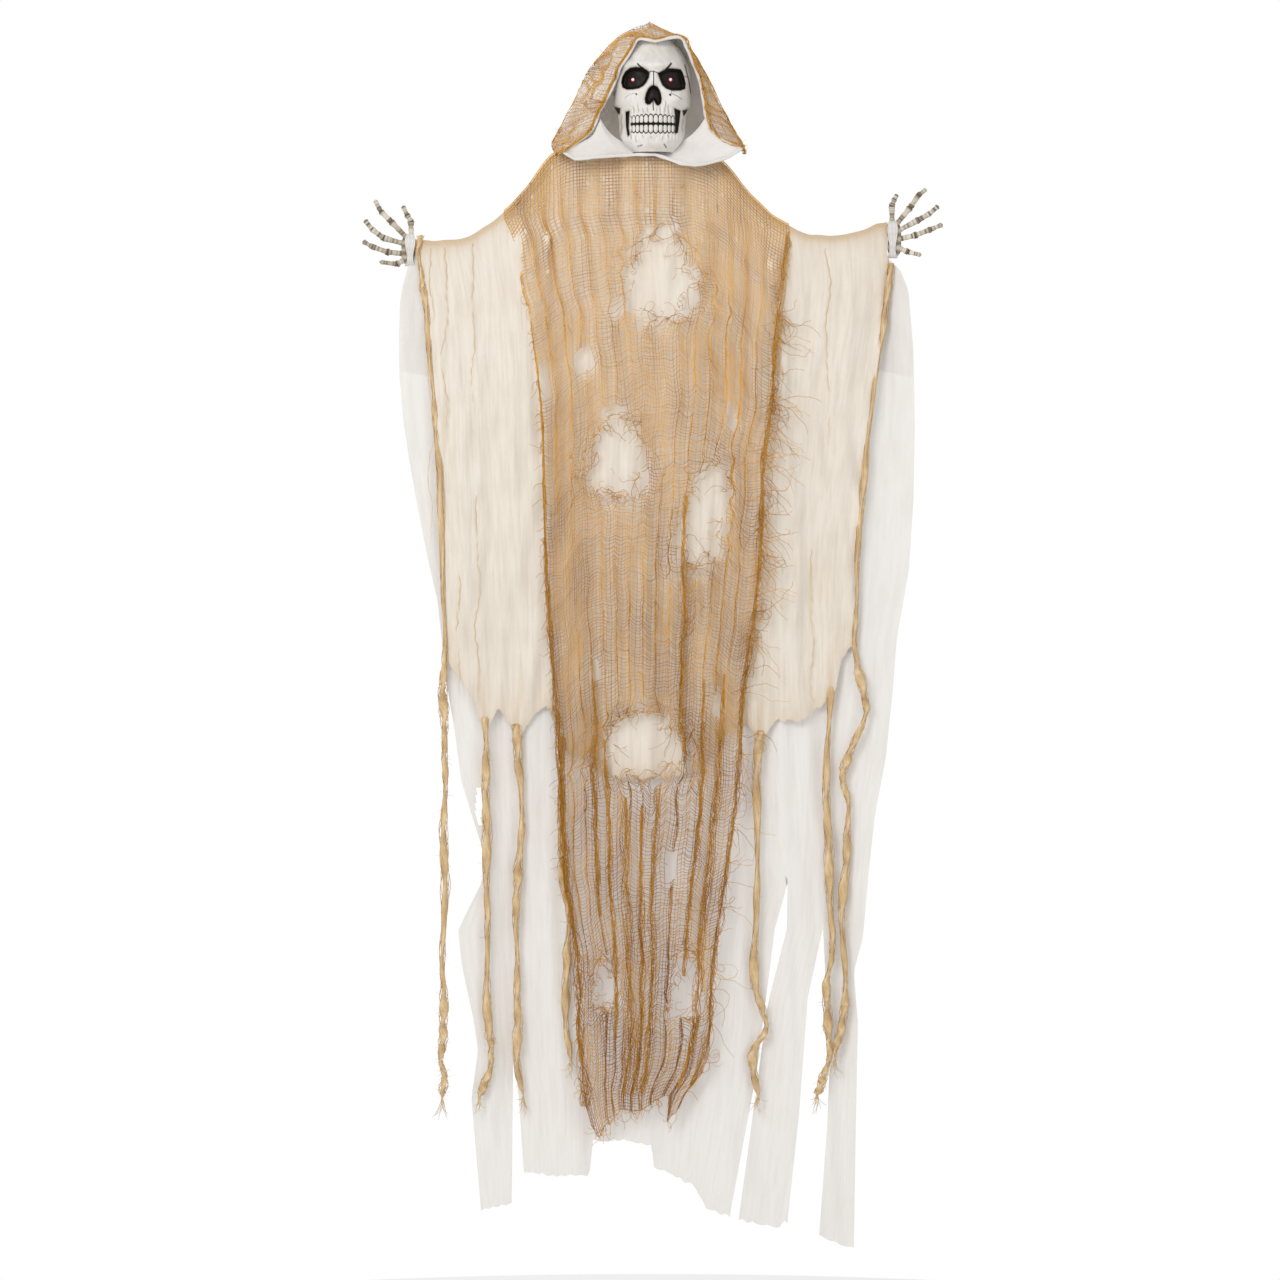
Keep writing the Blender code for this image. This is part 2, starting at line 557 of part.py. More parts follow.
def wire_z(x):
    """Height of the arm wire's centre, straight between the stations."""
    places = stations()
    path = np.asarray(WIRE_PATH, float)
    return np.interp(x, places, np.interp(places, path[:, 0], path[:, 1]))


def stretch(x):
    """How much taller than wide the cloth stands over the sloping wire, as for a mitred tube."""
    places = stations()
    slope = np.abs(np.diff(wire_z(places)) / np.diff(places))
    steep = np.maximum(np.append(slope, slope[-1]), np.insert(slope, 0, slope[0]))
    return np.interp(x, places, np.sqrt(1 + steep ** 2))


def palm_inner(side):
    """The palm's inner end, beside the sleeve."""
    edge = ARM_SPAN[0] if side < 0 else ARM_SPAN[1]
    return edge + side * 1.0


def arm_wire(finish):
    """One bent wire from palm to palm, through the neck block."""
    path = [(palm_inner(-1) - WIRE_IN_PALM, SEAM_Y, wire_z(ARM_SPAN[0]))]
    path += [(x, SEAM_Y, wire_z(x)) for x in stations()]
    path += [(palm_inner(1) + WIRE_IN_PALM, SEAM_Y, wire_z(ARM_SPAN[1]))]
    return tube("arm_wire", path, WIRE_R, finish, 6)


def neck_block(finish):
    """Round plug under the skull, bored for the arm wire."""
    made = turned("neck_block", [(0, NECK_BOTTOM), (NECK_R - 2, NECK_BOTTOM), (NECK_R, NECK_BOTTOM + 2),
                                 (NECK_R, NECK_TOP), (0, NECK_TOP)], (0, SEAM_Y, 0), (0, 0, 1), finish, 20)
    bore = turned("wire_bore", [(0, -25), (WIRE_R + GAP, -25), (WIRE_R + GAP, 25), (0, 25)],
                  (0, SEAM_Y, float(wire_z(0))), (1, 0, 0), finish, 12)
    return combine(made, bore, "DIFFERENCE")


def bone(name, joints, finish):
    """One finger: thin shafts between knuckles, curling a little towards the viewer at its tip."""
    joints = np.asarray(joints, float)
    points, radii = [], []
    for number, (start, end) in enumerate(zip(joints, joints[1:])):
        for share, scale in ((0.0, KNUCKLE), (0.3, 0.85), (0.75, 0.95)):
            points.append(start + (end - start) * share)
            radii.append(BONE_R * scale * (0.72 if number == 0 and share == 0 else 1.0))
    points.append(joints[-1])
    radii.append(BONE_R)
    reach = np.linspace(1, 0, len(points))
    path = [(x, SEAM_Y - CURL * r ** 2, z) for (x, z), r in zip(points, reach)]
    return tube(name, path, radii, finish, 5)


def hand(name, fingers, side, palm_z, palm_half, finish):
    """A skeleton hand as one moulding: a flat palm with five fingers, bored for the arm wire."""
    inner = palm_inner(side)
    shape = ((0.0, 0.62), (0.12, 0.96), (0.7, 1.0), (0.92, 0.8), (1.0, 0.6))
    path = [(inner + side * PALM_LENGTH * share, SEAM_Y, palm_z) for share, _ in shape]
    radii = [palm_half * scale for _, scale in shape]
    palm = tube(name, path, radii, finish, 12, PALM_DEPTH / palm_half)
    for number, joints in enumerate(fingers):
        combine(palm, bone(f"{name}_finger_{number}", joints, finish), "UNION")
    wire_end = float(wire_z(ARM_SPAN[0] if side < 0 else ARM_SPAN[1]))
    depth = WIRE_IN_PALM + GAP
    bore = turned(f"{name}_bore", [(0, -THROUGH), (WIRE_R + GAP, -THROUGH), (WIRE_R + GAP, depth), (0, depth)],
                  (inner, SEAM_Y, wire_end), (side, 0, 0), finish, 12)
    return combine(palm, bore, "DIFFERENCE")


def cuff(name, side, palm_z, palm_half, thumb, finish):
    """Gauze wrapped round the palm: a flattened ring, slightly wavy at its ends, open at the thumb."""
    inner = palm_inner(side) + side * 2.0
    count = CUFF_SIDES
    turns = np.arange(count) * 2 * math.pi / count
    along = np.array([0.0, 0.5, 1.0])[:, None]
    wave = 1.2 * np.sin(3 * turns)[None, :] * (2 * along - 1)
    rings = []
    for extra in (GAP + CLOTH, GAP):
        x = inner + side * (CUFF_LENGTH * along + wave)
        y = SEAM_Y + (PALM_DEPTH + 0.4 + extra) * np.cos(turns)[None, :] + 0 * x
        z = palm_z + (palm_half + 0.6 + extra) * np.sin(turns)[None, :] + 0 * x
        rings.append(np.stack([x, y, z], -1))
    quads = [(j * count + k, (j + 1) * count + k, (j + 1) * count + (k + 1) % count,
              j * count + (k + 1) % count) for j in range(2) for k in range(count)]
    made = oriented(shell(name, rings[0], rings[1], quads, finish))
    route = [(x, SEAM_Y - 1.0, z) for x, z in thumb]
    return combine(made, tube(f"{name}_thumb_hole", route, BONE_R * KNUCKLE + 1.5, finish, 8), "DIFFERENCE")


# Hood

def along_points(points, share):
    """Points at shares 0 to 1 of a list's length, counted by its points."""
    points = np.asarray(points, float)
    place = np.asarray(share) * (len(points) - 1)
    return np.stack([np.interp(place, np.arange(len(points)), points[:, i]) for i in range(3)], -1)


def hood_half(rim, side):
    """Half of the hood from its opening edge round to the middle of the back, row by row upwards."""
    rise = np.linspace(0, 1, HOOD_ROWS + 1)
    low, high = np.array(BACK_LOW, float), np.array(BACK_HIGH, float)
    side_x, _, side_z = np.asarray(side, float).T
    rows = []
    for v, edge, outline in zip(rise, along_points(rim, rise), along_points(side, rise)):
        back = low + (high - low) * v
        row = []
        for t in np.linspace(0, 1, HOOD_FRONT_COLUMNS + 1)[:-1]:
            bulge = 3.0 * math.sin(math.pi * t) * (1 - v)
            outward = np.array([math.copysign(bulge, outline[0]), -bulge, 0])
            row.append(edge + (outline - edge) * t + outward)
        for t in np.linspace(0, 1, HOOD_BACK_COLUMNS + 1):
            angle = t * math.pi / 2
            drop = 0.6 * math.sin(angle) ** 0.6 + 0.4 * t ** 5 if v > 0.99 else t ** (0.08 + 0.8 * v)
            z = outline[2] + (back[2] - outline[2]) * drop
            widest = abs(np.interp(z, side_z, side_x))
            x = outline[0] * math.cos(angle) + back[0] * math.sin(angle)
            row.append((np.clip(x, -widest, widest), outline[1] + (back[1] - outline[1]) * math.sin(angle), z))
        rows.append(row)
    return np.array(rows, float)


def hood_base():
    """The hood's middle surface, left edge to right edge, with its two halves meeting at the top."""
    left = hood_half(RIM_LEFT, SIDE_LEFT)
    right = hood_half(RIM_RIGHT, SIDE_RIGHT)
    return np.concatenate([left, right[:, ::-1][:, 1:]], 1)


def normals(points):
    """Unit normals of a grid, by the cross product of its two directions."""
    along = np.gradient(points, axis=1)
    up = np.gradient(points, axis=0)
    cross = np.cross(up, along)
    return cross / np.maximum(np.linalg.norm(cross, axis=-1), 1e-9)[..., None]


def hood_layers():
    """Grid, outward normals and zipped index of the hood."""
    base = hood_base()
    facing = normals(base)
    middle = base[HOOD_ROWS // 2, base.shape[1] // 2]
    if facing[HOOD_ROWS // 2, base.shape[1] // 2] @ (middle - (0, SEAM_Y, middle[2])) < 0:
        facing = -facing
    along = np.gradient(base[:COLLAR_ROWS + 1], axis=1)
    flat = np.stack([-along[..., 1], along[..., 0], 0 * along[..., 0]], -1)
    flat /= np.linalg.norm(flat, axis=-1)[..., None]
    facing[:COLLAR_ROWS + 1] = flat * np.sign(np.sum(flat * facing[:COLLAR_ROWS + 1], -1).mean())
    apex_y = SIDE_LEFT[-1][1]
    behind = base[-1, :, 1] - apex_y
    lean = np.where(behind < 0, behind / (apex_y - RIM_LEFT[-1][1]) * RIDGE_LEAN[0],
                    behind / (BACK_HIGH[1] - apex_y) * RIDGE_LEAN[1])
    facing[-1] = np.stack([0 * lean, np.sin(lean), np.cos(lean)], -1)
    lines = base.shape[1]
    index = np.arange(base.shape[0] * lines).reshape(base.shape[:2])
    index[-1] = index[-1, np.minimum(np.arange(lines), lines - 1 - np.arange(lines))]
    return base, facing, index


def hood_quads(index):
    """Cells of the hood, looking outwards, split into triangles in the same way on both halves."""
    quads = []
    middle = (index.shape[1] - 1) // 2
    for j in range(index.shape[0] - 1):
        for k in range(index.shape[1] - 1):
            quad = (index[j, k], index[j + 1, k], index[j + 1, k + 1], index[j, k + 1])
            quads.append(quad if k < middle else quad[1:] + quad[:1])
    return quads


def collar(base):
    """The collar that closes the lining under the chin, from the right edge to the left edge."""
    share = np.linspace(0, 1, COLLAR_COLUMNS + 1)[1:-1]
    right, left = base[:COLLAR_ROWS + 1, -1], base[:COLLAR_ROWS + 1, 0]
    hem_x = right[0, 0] + (left[0, 0] - right[0, 0]) * share
    hem = np.stack([hem_x, np.full_like(hem_x, right[0, 1] - 2.0),
                    np.interp(hem_x, *np.asarray(COLLAR_HEM, float).T)], -1)
    top_x = right[-1, 0] + (left[-1, 0] - right[-1, 0]) * share
    wide = np.maximum(abs(right[-1, 0]), abs(left[-1, 0]))
    rim_z = right[-1, 2] + (left[-1, 2] - right[-1, 2]) * share
    rise = (np.abs(top_x) / wide) ** 3.5
    top = np.stack([top_x, -44 + 0 * top_x, COLLAR_LOW + (rim_z - COLLAR_LOW) * rise], -1)
    rows = []
    for j in range(COLLAR_ROWS + 1):
        w = j / COLLAR_ROWS
        row = hem + (top - hem) * w
        for edge, weight in ((right, (1 - share) ** 6), (left, share ** 6)):
            off = edge[j] - (edge[0] + (edge[-1] - edge[0]) * w)
            row = row + weight[:, None] * off
        rows.append(row)
    return np.array(rows)


def hood(lining_finish, net_finish):
    """White lining with its collar, and the brown net over it, both pierced for the hanging eye."""
    base, facing, index = hood_layers()
    quads = hood_quads(index)
    bib = collar(base)
    start = base.shape[0] * base.shape[1]
    bib_index = start + np.arange(bib.shape[0] * bib.shape[1]).reshape(bib.shape[:2])
    ring = np.concatenate([index[:COLLAR_ROWS + 1, -1:], bib_index, index[:COLLAR_ROWS + 1, :1]], 1)
    bib_facing = np.broadcast_to((0.0, -0.8, -0.6), bib.shape).copy()
    points = np.vstack([base.reshape(-1, 3), bib.reshape(-1, 3)])
    outward = np.vstack([facing.reshape(-1, 3), bib_facing.reshape(-1, 3)])
    all_quads = quads + hood_quads(ring)
    lining = shell("hood_lining", points - outward * GAP, points - outward * (GAP + CLOTH),
                   all_quads, lining_finish)
    flat, flat_out = base.reshape(-1, 3), facing.reshape(-1, 3)
    net = shell("hood_net", flat + flat_out * (GAP / 2 + NET), flat + flat_out * GAP / 2, quads, net_finish)
    for made in (oriented(lining), oriented(net)):
        hole = turned(f"{made.name}_eye_hole", [(0, -30), (EYE_SHANK + GAP, -30), (EYE_SHANK + GAP, 3), (0, 3)],
                      (0, 0, 0), (0, 0, 1), lining_finish, 12)
        combine(made, hole, "DIFFERENCE")


# Cloth on the arms

def fold(x, z, below):
    """Forward swing of the folds that every front cloth shares, none right at the wire."""
    wave = FOLD * np.sin(2 * math.pi * (x + 0.05 * z) / FOLD_PERIOD)
    wave = wave + FOLD / 2 * np.sin(2 * math.pi * (x - 0.09 * z) / (FOLD_PERIOD * 1.7))
    return wave * smooth(below, 0, 160)


def hang(x, z, below, radius, spread, face):
    """Y of a cloth: its distance from the wire, its spread below the arms, the folds and the neck."""
    neck = NECK_BULGE * smooth(np.abs(x), 59, 31) * smooth(z, -330, -215)
    away = radius + spread * smooth(below, 0, SPREAD_DEPTH) + fold(x, z, below) + neck
    return SEAM_Y + face * away


def cloth(name, x, z, line_z, radius, thick, spread, face, alive, finish, ripple=None):
    """A cloth hung over the wire: its first rows bend over it, and the rest hang down from it.

    x and z are arrays of rows and column lines from the wire's height down; line_z is the wire's height
    on each column line, radius the cloth's inner radius there, and face -1 in front or +1 behind.
    """
    thick = np.broadcast_to(np.asarray(thick, float), x.shape)
    rise = stretch(x[0])
    sides = []
    below = line_z[None, :] - z
    wave = 0 * x if ripple is None else ripple
    for extra in (thick, 0 * thick):
        rim_radius = radius + extra[0]
        rows = []
        for angle in ROLL_ANGLES:
            a = math.radians(angle)
            y = face * np.maximum(GAP / 2, rim_radius * math.sin(a))
            neck = hang(x[0], line_z, 0 * line_z, 0.0, 0.0, face) - SEAM_Y
            rows.append(np.stack([x[0], SEAM_Y + y + neck, line_z + rise * rim_radius * math.cos(a)], -1))
        y = hang(x, z, below, radius + extra, spread, face) + face * wave
        sides.append(np.concatenate([np.array(rows), np.stack([x, y, z], -1)], 0))
    alive = np.concatenate([np.ones((len(ROLL_ANGLES), alive.shape[1]), bool), alive], 0)
    return shell(name, sides[0], sides[1], grid_quads(mend_corners(alive), face > 0), finish)


def row_heights(line_z, bottom, drops, shares):
    """Heights of the rows: the shared drops below the wire, then shares of the way to the bottom."""
    upper = line_z - np.asarray(drops)[:, None]
    lower = upper[-1] + (bottom - upper[-1]) * np.asarray(shares)[:, None]
    return np.vstack([upper, lower])


def column_x(guides, lines, z):
    """Side of each column line at its heights z: given on the guide lines, even between them."""
    keys = sorted(guides)
    x = np.empty_like(z)
    for j in range(z.shape[0]):
        for k in range(lines):
            sides = [np.interp(-z[j, k], *np.asarray([(-p[0], p[1]) for p in guides[key]], float).T)
                     for key in keys]
            x[j, k] = np.interp(k, keys, sides)
    return x


def white_front(finish):
    """Sheer under-gown, torn into long strips by three slits."""
    places = stations()
    line_z = wire_z(places)
    guides = {0: [(-300, places[0])] + WHITE_LEFT, STATIONS: [(-300, places[-1])] + WHITE_RIGHT}
    columns = [int(np.searchsorted(places, x)) - 1 for x in SLIT_X]
    for column, (_, left, right) in zip(columns, WHITE_SLITS):
        guides[column] = [(line_z[column], places[column])] + left
        guides[column + 1] = [(line_z[column + 1], places[column + 1])] + right
    low = column_x(guides, STATIONS + 1, np.full((1, STATIONS + 1), -1750.0))[0]
    bottom = np.interp(low, *np.asarray(WHITE_BOTTOM, float).T)
    z = row_heights(line_z, bottom, FRONT_DROPS, (0.16, 0.33, 0.5, 0.63, 0.70, 0.81, 0.91, 1.0))
    x = column_x(guides, STATIONS + 1, z)
    x[0] = places
    alive = np.ones((len(z) - 1, STATIONS), bool)
    middle = (z[:-1] + z[1:])[:, :-1] / 2
    for column, (top, _, _) in zip(columns, WHITE_SLITS):
        alive[:, column] = middle[:, column] > top
    return cloth("white_gown_front", x, z, line_z, WIRE_R + GAP, CLOTH, SPREAD_WHITE, -1, alive, finish)


def plain_back(name, left, right, bottom, radius, spread, rows, finish):
    """A back cloth with a straight lower edge."""
    places = stations()
    line_z = wire_z(places)
    guides = {0: [(-300, places[0])] + left, len(places) - 1: [(-300, places[-1])] + right}
    ragged = bottom + 6 * np.sin(places / 21)
    z = row_heights(line_z, ragged, BACK_DROPS, np.linspace(0, 1, rows + 1)[1:])
    x = column_x(guides, len(places), z)
    x[0] = places
    alive = np.ones((len(z) - 1, len(places) - 1), bool)
    return cloth(name, x, z, line_z, radius, CLOTH, spread, 1, alive, finish)


def cream_front(finish):
    """Gauze robe with wide sleeves, its hem drawn out into seven twisted strands."""
    places = stations()
    line_z = wire_z(places)
    hem = np.asarray(CREAM_HEM, float)
    guides = {0: [(-300, places[0])] + CREAM_LEFT, STATIONS: [(-300, places[-1])] + CREAM_RIGHT}
    z_body = row_heights(line_z, hem, FRONT_DROPS, (0.3, 0.6, 0.85, 1.0))
    hem_row = len(z_body) - 1
    x_body = column_x(guides, STATIONS + 1, z_body)
    x_body[0] = places
    below = np.linspace(0, 1, STRAND_ROWS + 1)[1:, None]
    ends = hem - 500
    alive = np.ones((hem_row + STRAND_ROWS, STATIONS), bool)
    alive[hem_row:] = False
    thick = np.full((hem_row + 1 + STRAND_ROWS, STATIONS + 1), CLOTH)
    middles = (x_body[-1, :-1] + x_body[-1, 1:]) / 2
    columns = [int(np.abs(middles - path[0][1]).argmin()) for path in STRANDS]
    for column, path in zip(columns, STRANDS):
        alive[hem_row:, column] = True
        ends[column:column + 2] = path[-1][0]
        thick[hem_row + 2:, column:column + 2] = STRAND_THICK
    z_low = hem + (ends - hem) * below
    x_low = np.broadcast_to(x_body[-1], z_low.shape).copy()
    for column, path in zip(columns, STRANDS):
        route = np.asarray([(-p[0], p[1]) for p in path], float).T
        for line, side in ((column, -1), (column + 1, 1)):
            x_low[:, line] = np.interp(-z_low[:, line], *route) + side * STRAND_WIDTH / 2
    x, z = np.vstack([x_body, x_low]), np.vstack([z_body, z_low])
    radius = WIRE_R + GAP + CLOTH + LAYER_GAP
    return cloth("cream_robe_front", x, z, line_z, radius, thick, SPREAD_CREAM, -1, alive, finish)


def net_panel(finish):
    """Coarse net down the front, with gathers, open places in the weave and big torn holes."""
    step = (ARM_SPAN[1] - ARM_SPAN[0]) / STATIONS
    places = np.arange(ARM_SPAN[0] + 4.5 * step, ARM_SPAN[0] + 19.05 * step, step / 2)
    line_z = wire_z(places)
    last = len(places) - 1
    guides = {0: [(-285, places[0])] + NET_LEFT, last: [(-300, places[-1])] + NET_RIGHT}
    low = column_x(guides, last + 1, np.full((1, last + 1), -1600.0))[0]
    bottom = np.interp(low, *np.asarray(NET_BOTTOM, float).T)
    ladder = np.cumsum([1.3 if j % 2 == 0 else 0.7 for j in range(NET_ROWS)])
    z = row_heights(line_z, bottom, FRONT_DROPS, ladder / ladder[-1])
    x = column_x(guides, last + 1, z)
    x[0] = places
    mid_x = (x[:-1, :-1] + x[1:, :-1] + x[:-1, 1:] + x[1:, 1:]) / 4
    mid_z = (z[:-1, :-1] + z[1:, :-1] + z[:-1, 1:] + z[1:, 1:]) / 4
    alive = np.ones(mid_x.shape, bool)
    for centre_x, centre_z, half_x, half_z, lean in NET_HOLES:
        off_x = mid_x - centre_x + lean * (mid_z - centre_z)
        alive &= ((off_x / half_x) ** 2 + ((mid_z - centre_z) / half_z) ** 2) > 1
    row, column = np.indices(alive.shape)
    whole = alive.copy()
    weave = (row % 2 == 0) & (column % 3 == 1) & (row > 1) & (row < len(z) - 3)
    weave &= (column > 0) & (column < last - 1)
    near = whole.copy()
    near[1:-1, 1:-1] = (whole[:-2, 1:-1] & whole[2:, 1:-1] & whole[1:-1, :-2] & whole[1:-1, 2:]
                        & whole[:-2, :-2] & whole[2:, 2:] & whole[:-2, 2:] & whole[2:, :-2])
    alive &= ~(weave & near)
    below = line_z - z
    ripple = GATHER * np.sin(2 * math.pi * (x + 0.02 * z) / GATHER_PERIOD) * smooth(below, 60, 300)
    radius = WIRE_R + GAP + 2 * (CLOTH + LAYER_GAP)
    return cloth("net_panel", x, z, line_z, radius, NET, SPREAD_NET, -1, alive, finish, ripple)


def main():
    """Build every piece."""
    for old in list(bpy.data.objects):
        bpy.data.objects.remove(old, do_unlink=True)
    bone_plastic = material("bone_plastic", (0.80, 0.79, 0.74), 0.55)
    hand_plastic = material("hand_plastic", (0.62, 0.57, 0.46), 0.6)
    red_light = material("red_light", (0.9, 0.12, 0.16), 0.25)
    red_lead = material("red_lead", (0.5, 0.03, 0.03), 0.5)
    black_plastic = material("black_plastic", (0.02, 0.02, 0.02), 0.4)
    knob_plastic = material("knob_plastic", (0.5, 0.5, 0.5), 0.5)
    cell_skin = material("cell_skin", (0.08, 0.2, 0.1), 0.35)
    steel = material("steel", (0.6, 0.6, 0.6), 0.3, 1.0)
    foam = material("foam", (0.75, 0.74, 0.7), 0.9)
    white_cloth = material("white_cloth", (0.78, 0.76, 0.73), 0.9)
    lining_cloth = material("lining_cloth", (0.85, 0.84, 0.82), 0.9)
    cream_gauze = material("cream_gauze", (0.82, 0.72, 0.55), 0.9)
    brown_net = material("brown_net", (0.42, 0.22, 0.08), 0.9)

    skull_face(bone_plastic)
    skull_back(bone_plastic)
    eye_lights(red_light, red_lead)
    hanging_eye(steel)
    battery_unit(black_plastic, steel, cell_skin, knob_plastic)
    neck_block(foam)
    arm_wire(steel)
    hand("left_hand", LEFT_FINGERS, -1, LEFT_PALM_Z, LEFT_PALM_HALF, hand_plastic)
    hand("right_hand", RIGHT_FINGERS, 1, RIGHT_PALM_Z, RIGHT_PALM_HALF, hand_plastic)
    cuff("left_cuff", -1, LEFT_PALM_Z, LEFT_PALM_HALF, LEFT_FINGERS[0], white_cloth)
    cuff("right_cuff", 1, RIGHT_PALM_Z, RIGHT_PALM_HALF, RIGHT_FINGERS[0], white_cloth)
    hood(lining_cloth, brown_net)
    white_front(white_cloth)
    plain_back("white_gown_back", WHITE_LEFT, WHITE_RIGHT, WHITE_BACK_BOTTOM, WIRE_R + GAP, SPREAD_WHITE, 1,
               white_cloth)
    cream_front(cream_gauze)
    plain_back("cream_robe_back", CREAM_LEFT, CREAM_RIGHT, CREAM_BACK_BOTTOM,
               WIRE_R + GAP + CLOTH + LAYER_GAP, SPREAD_CREAM, 2, cream_gauze)
    net_panel(brown_net)


main()
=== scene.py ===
"""Looks of the hanging reaper: skull, hands, hood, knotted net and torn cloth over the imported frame.

Shapes are worked out in millimetres in the frame of the part (+Z up, the face looks along -Y, origin in
the hanging eye) and become metres when a mesh is made. Cloth is a surface of two parameters, and net and
loose thread are tubes carried along lines of the same surfaces.
"""
import json
import logging
import math
from dataclasses import dataclass
from enum import Enum

import bmesh
import bpy
import numpy as np
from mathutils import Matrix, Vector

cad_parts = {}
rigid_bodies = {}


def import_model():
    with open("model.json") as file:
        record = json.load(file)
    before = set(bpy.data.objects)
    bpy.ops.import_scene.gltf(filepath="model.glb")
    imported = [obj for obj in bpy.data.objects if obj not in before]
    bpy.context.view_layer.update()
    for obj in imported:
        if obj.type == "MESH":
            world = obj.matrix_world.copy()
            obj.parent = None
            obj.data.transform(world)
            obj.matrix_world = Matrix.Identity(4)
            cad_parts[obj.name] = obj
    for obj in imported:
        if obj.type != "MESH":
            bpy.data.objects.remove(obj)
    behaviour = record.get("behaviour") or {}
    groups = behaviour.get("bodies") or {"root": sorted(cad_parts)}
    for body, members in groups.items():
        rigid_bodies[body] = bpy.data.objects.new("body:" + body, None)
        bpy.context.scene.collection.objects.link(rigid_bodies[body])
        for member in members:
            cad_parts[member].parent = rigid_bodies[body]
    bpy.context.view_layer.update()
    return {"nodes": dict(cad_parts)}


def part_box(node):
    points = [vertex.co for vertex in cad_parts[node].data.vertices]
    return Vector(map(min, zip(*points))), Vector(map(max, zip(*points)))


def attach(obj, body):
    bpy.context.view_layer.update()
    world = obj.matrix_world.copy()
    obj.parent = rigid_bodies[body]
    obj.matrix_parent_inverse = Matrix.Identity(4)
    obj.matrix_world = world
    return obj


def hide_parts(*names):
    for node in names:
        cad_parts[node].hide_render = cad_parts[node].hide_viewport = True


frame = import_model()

log = logging.getLogger("reaper")
MM = 0.001
BODY = "decoration"
Colour = tuple[float, float, float]
Line = tuple[tuple[float, ...], ...]
Array = np.ndarray
Piece = bpy.types.Object
Socket = bpy.types.NodeSocket
Inputs = bpy.types.bpy_prop_collection


class Face(Enum):
    """Which side of the arm wire a cloth hangs on."""

    FRONT = -1
    BACK = 1


class Layer(Enum):
    """The cloth layers, each with its radius over the arm wire and how far it spreads below it."""

    WHITE = (2.9, 6.0)
    CREAM = (4.5, 16.0)
    NET = (6.3, 28.0)


class Side(Enum):
    """The viewer's left and right of the figure."""

    LEFT = -1
    RIGHT = 1


# Shape helpers

def step(value: Array, low: float, high: float) -> Array:
    """Smooth step: 3t^2 - 2t^3, where t runs from 0 at low to 1 at high."""
    t = np.clip((np.asarray(value, float) - low) / (high - low), 0.0, 1.0)
    return t * t * (3 - 2 * t)


def ripples(a: Array, b: Array, seed: int, length: float, count: int = 7) -> Array:
    """Smooth random surface: the mean of sines of random direction and phase.

    Args:
        a: First coordinate of each point.
        b: Second coordinate of each point.
        seed: Seed of the directions and phases.
        length: Wave length about which the sines lie.
        count: Number of sines.

    Returns:
        Heights of about -1 to 1.
    """
    draw = np.random.default_rng(seed)
    turn, phase = draw.uniform(0, 2 * math.pi, (2, count))
    wave = length * draw.uniform(0.6, 1.7, count)
    total = 0 * np.asarray(a, float)
    for t, p, w in zip(turn, phase, wave):
        total = total + np.sin(2 * math.pi * (a * math.cos(t) + b * math.sin(t)) / w + p)
    return total / math.sqrt(count) * 1.2


def through(points: Array, share: Array) -> Array:
    """Catmull-Rom curve through points.

    Between points p1 and p2 it is the cubic whose end slopes are (p2 - p0) / 2 and (p3 - p1) / 2.

    Args:
        points: Points to pass through, one per row.
        share: Places along the curve from 0 to 1, counted evenly from point to point.

    Returns:
        One point for each place.
    """
    points = np.asarray(points, float)
    place = np.clip(np.asarray(share, float), 0, 1) * (len(points) - 1)
    low = np.minimum(place.astype(int), len(points) - 2)
    t = (place - low)[:, None]
    p0, p1 = points[np.maximum(low - 1, 0)], points[low]
    p2, p3 = points[low + 1], points[np.minimum(low + 2, len(points) - 1)]
    slope_1, slope_2 = (p2 - p0) / 2, (p3 - p1) / 2
    return (p1 * (2 * t ** 3 - 3 * t ** 2 + 1) + p2 * (3 * t ** 2 - 2 * t ** 3)
            + slope_1 * (t ** 3 - 2 * t ** 2 + t) + slope_2 * (t ** 3 - t ** 2))


def to_line(x: Array, z: Array, line: Line) -> Array:
    """Distance of each point of the front view from an open line of straight stretches.

    Args:
        x: Sides of the points.
        z: Heights of the points.
        line: Side and height of each point of the line.

    Returns:
        Distances, in the shape of x.
    """
    best = np.full(np.shape(x), 1e9)
    for (ax, az), (bx, bz) in zip(line, line[1:]):
        dx, dz = bx - ax, bz - az
        t = np.clip(((x - ax) * dx + (z - az) * dz) / (dx * dx + dz * dz), 0, 1)
        best = np.minimum(best, np.hypot(x - ax - t * dx, z - az - t * dz))
    return best


def inside(x: Array, z: Array, outline: Line) -> Array:
    """Signed distance to a closed outline, positive inside, by the even-odd rule.

    Args:
        x: Sides of the points.
        z: Heights of the points.
        outline: Side and height of each corner.

    Returns:
        Distances, in the shape of x.
    """
    ring = outline + outline[:1]
    odd = np.zeros(np.shape(x), bool)
    for (ax, az), (bx, bz) in zip(ring, ring[1:]):
        crosses = (az > z) != (bz > z)
        at = ax + (z - az) * (bx - ax) / (bz - az if bz != az else 1e-9)
        odd ^= crosses & (x < at)
    return np.where(odd, 1, -1) * to_line(x, z, ring)


def unit(vectors: Array) -> Array:
    """Vectors divided by their own length."""
    return vectors / np.maximum(np.linalg.norm(vectors, axis=-1), 1e-9)[..., None]


def profile(table: Line, at: Array) -> Array:
    """Second column of a table at places of its first column, straight between its rows."""
    return np.interp(at, *np.asarray(table, float).T)


def side_of(guide: Line, z: Array) -> Array:
    """Side of a guide line at heights; its rows are heights with sides, from the top down."""
    return profile([(-high, side) for high, side in guide], -z)


# Mesh helpers

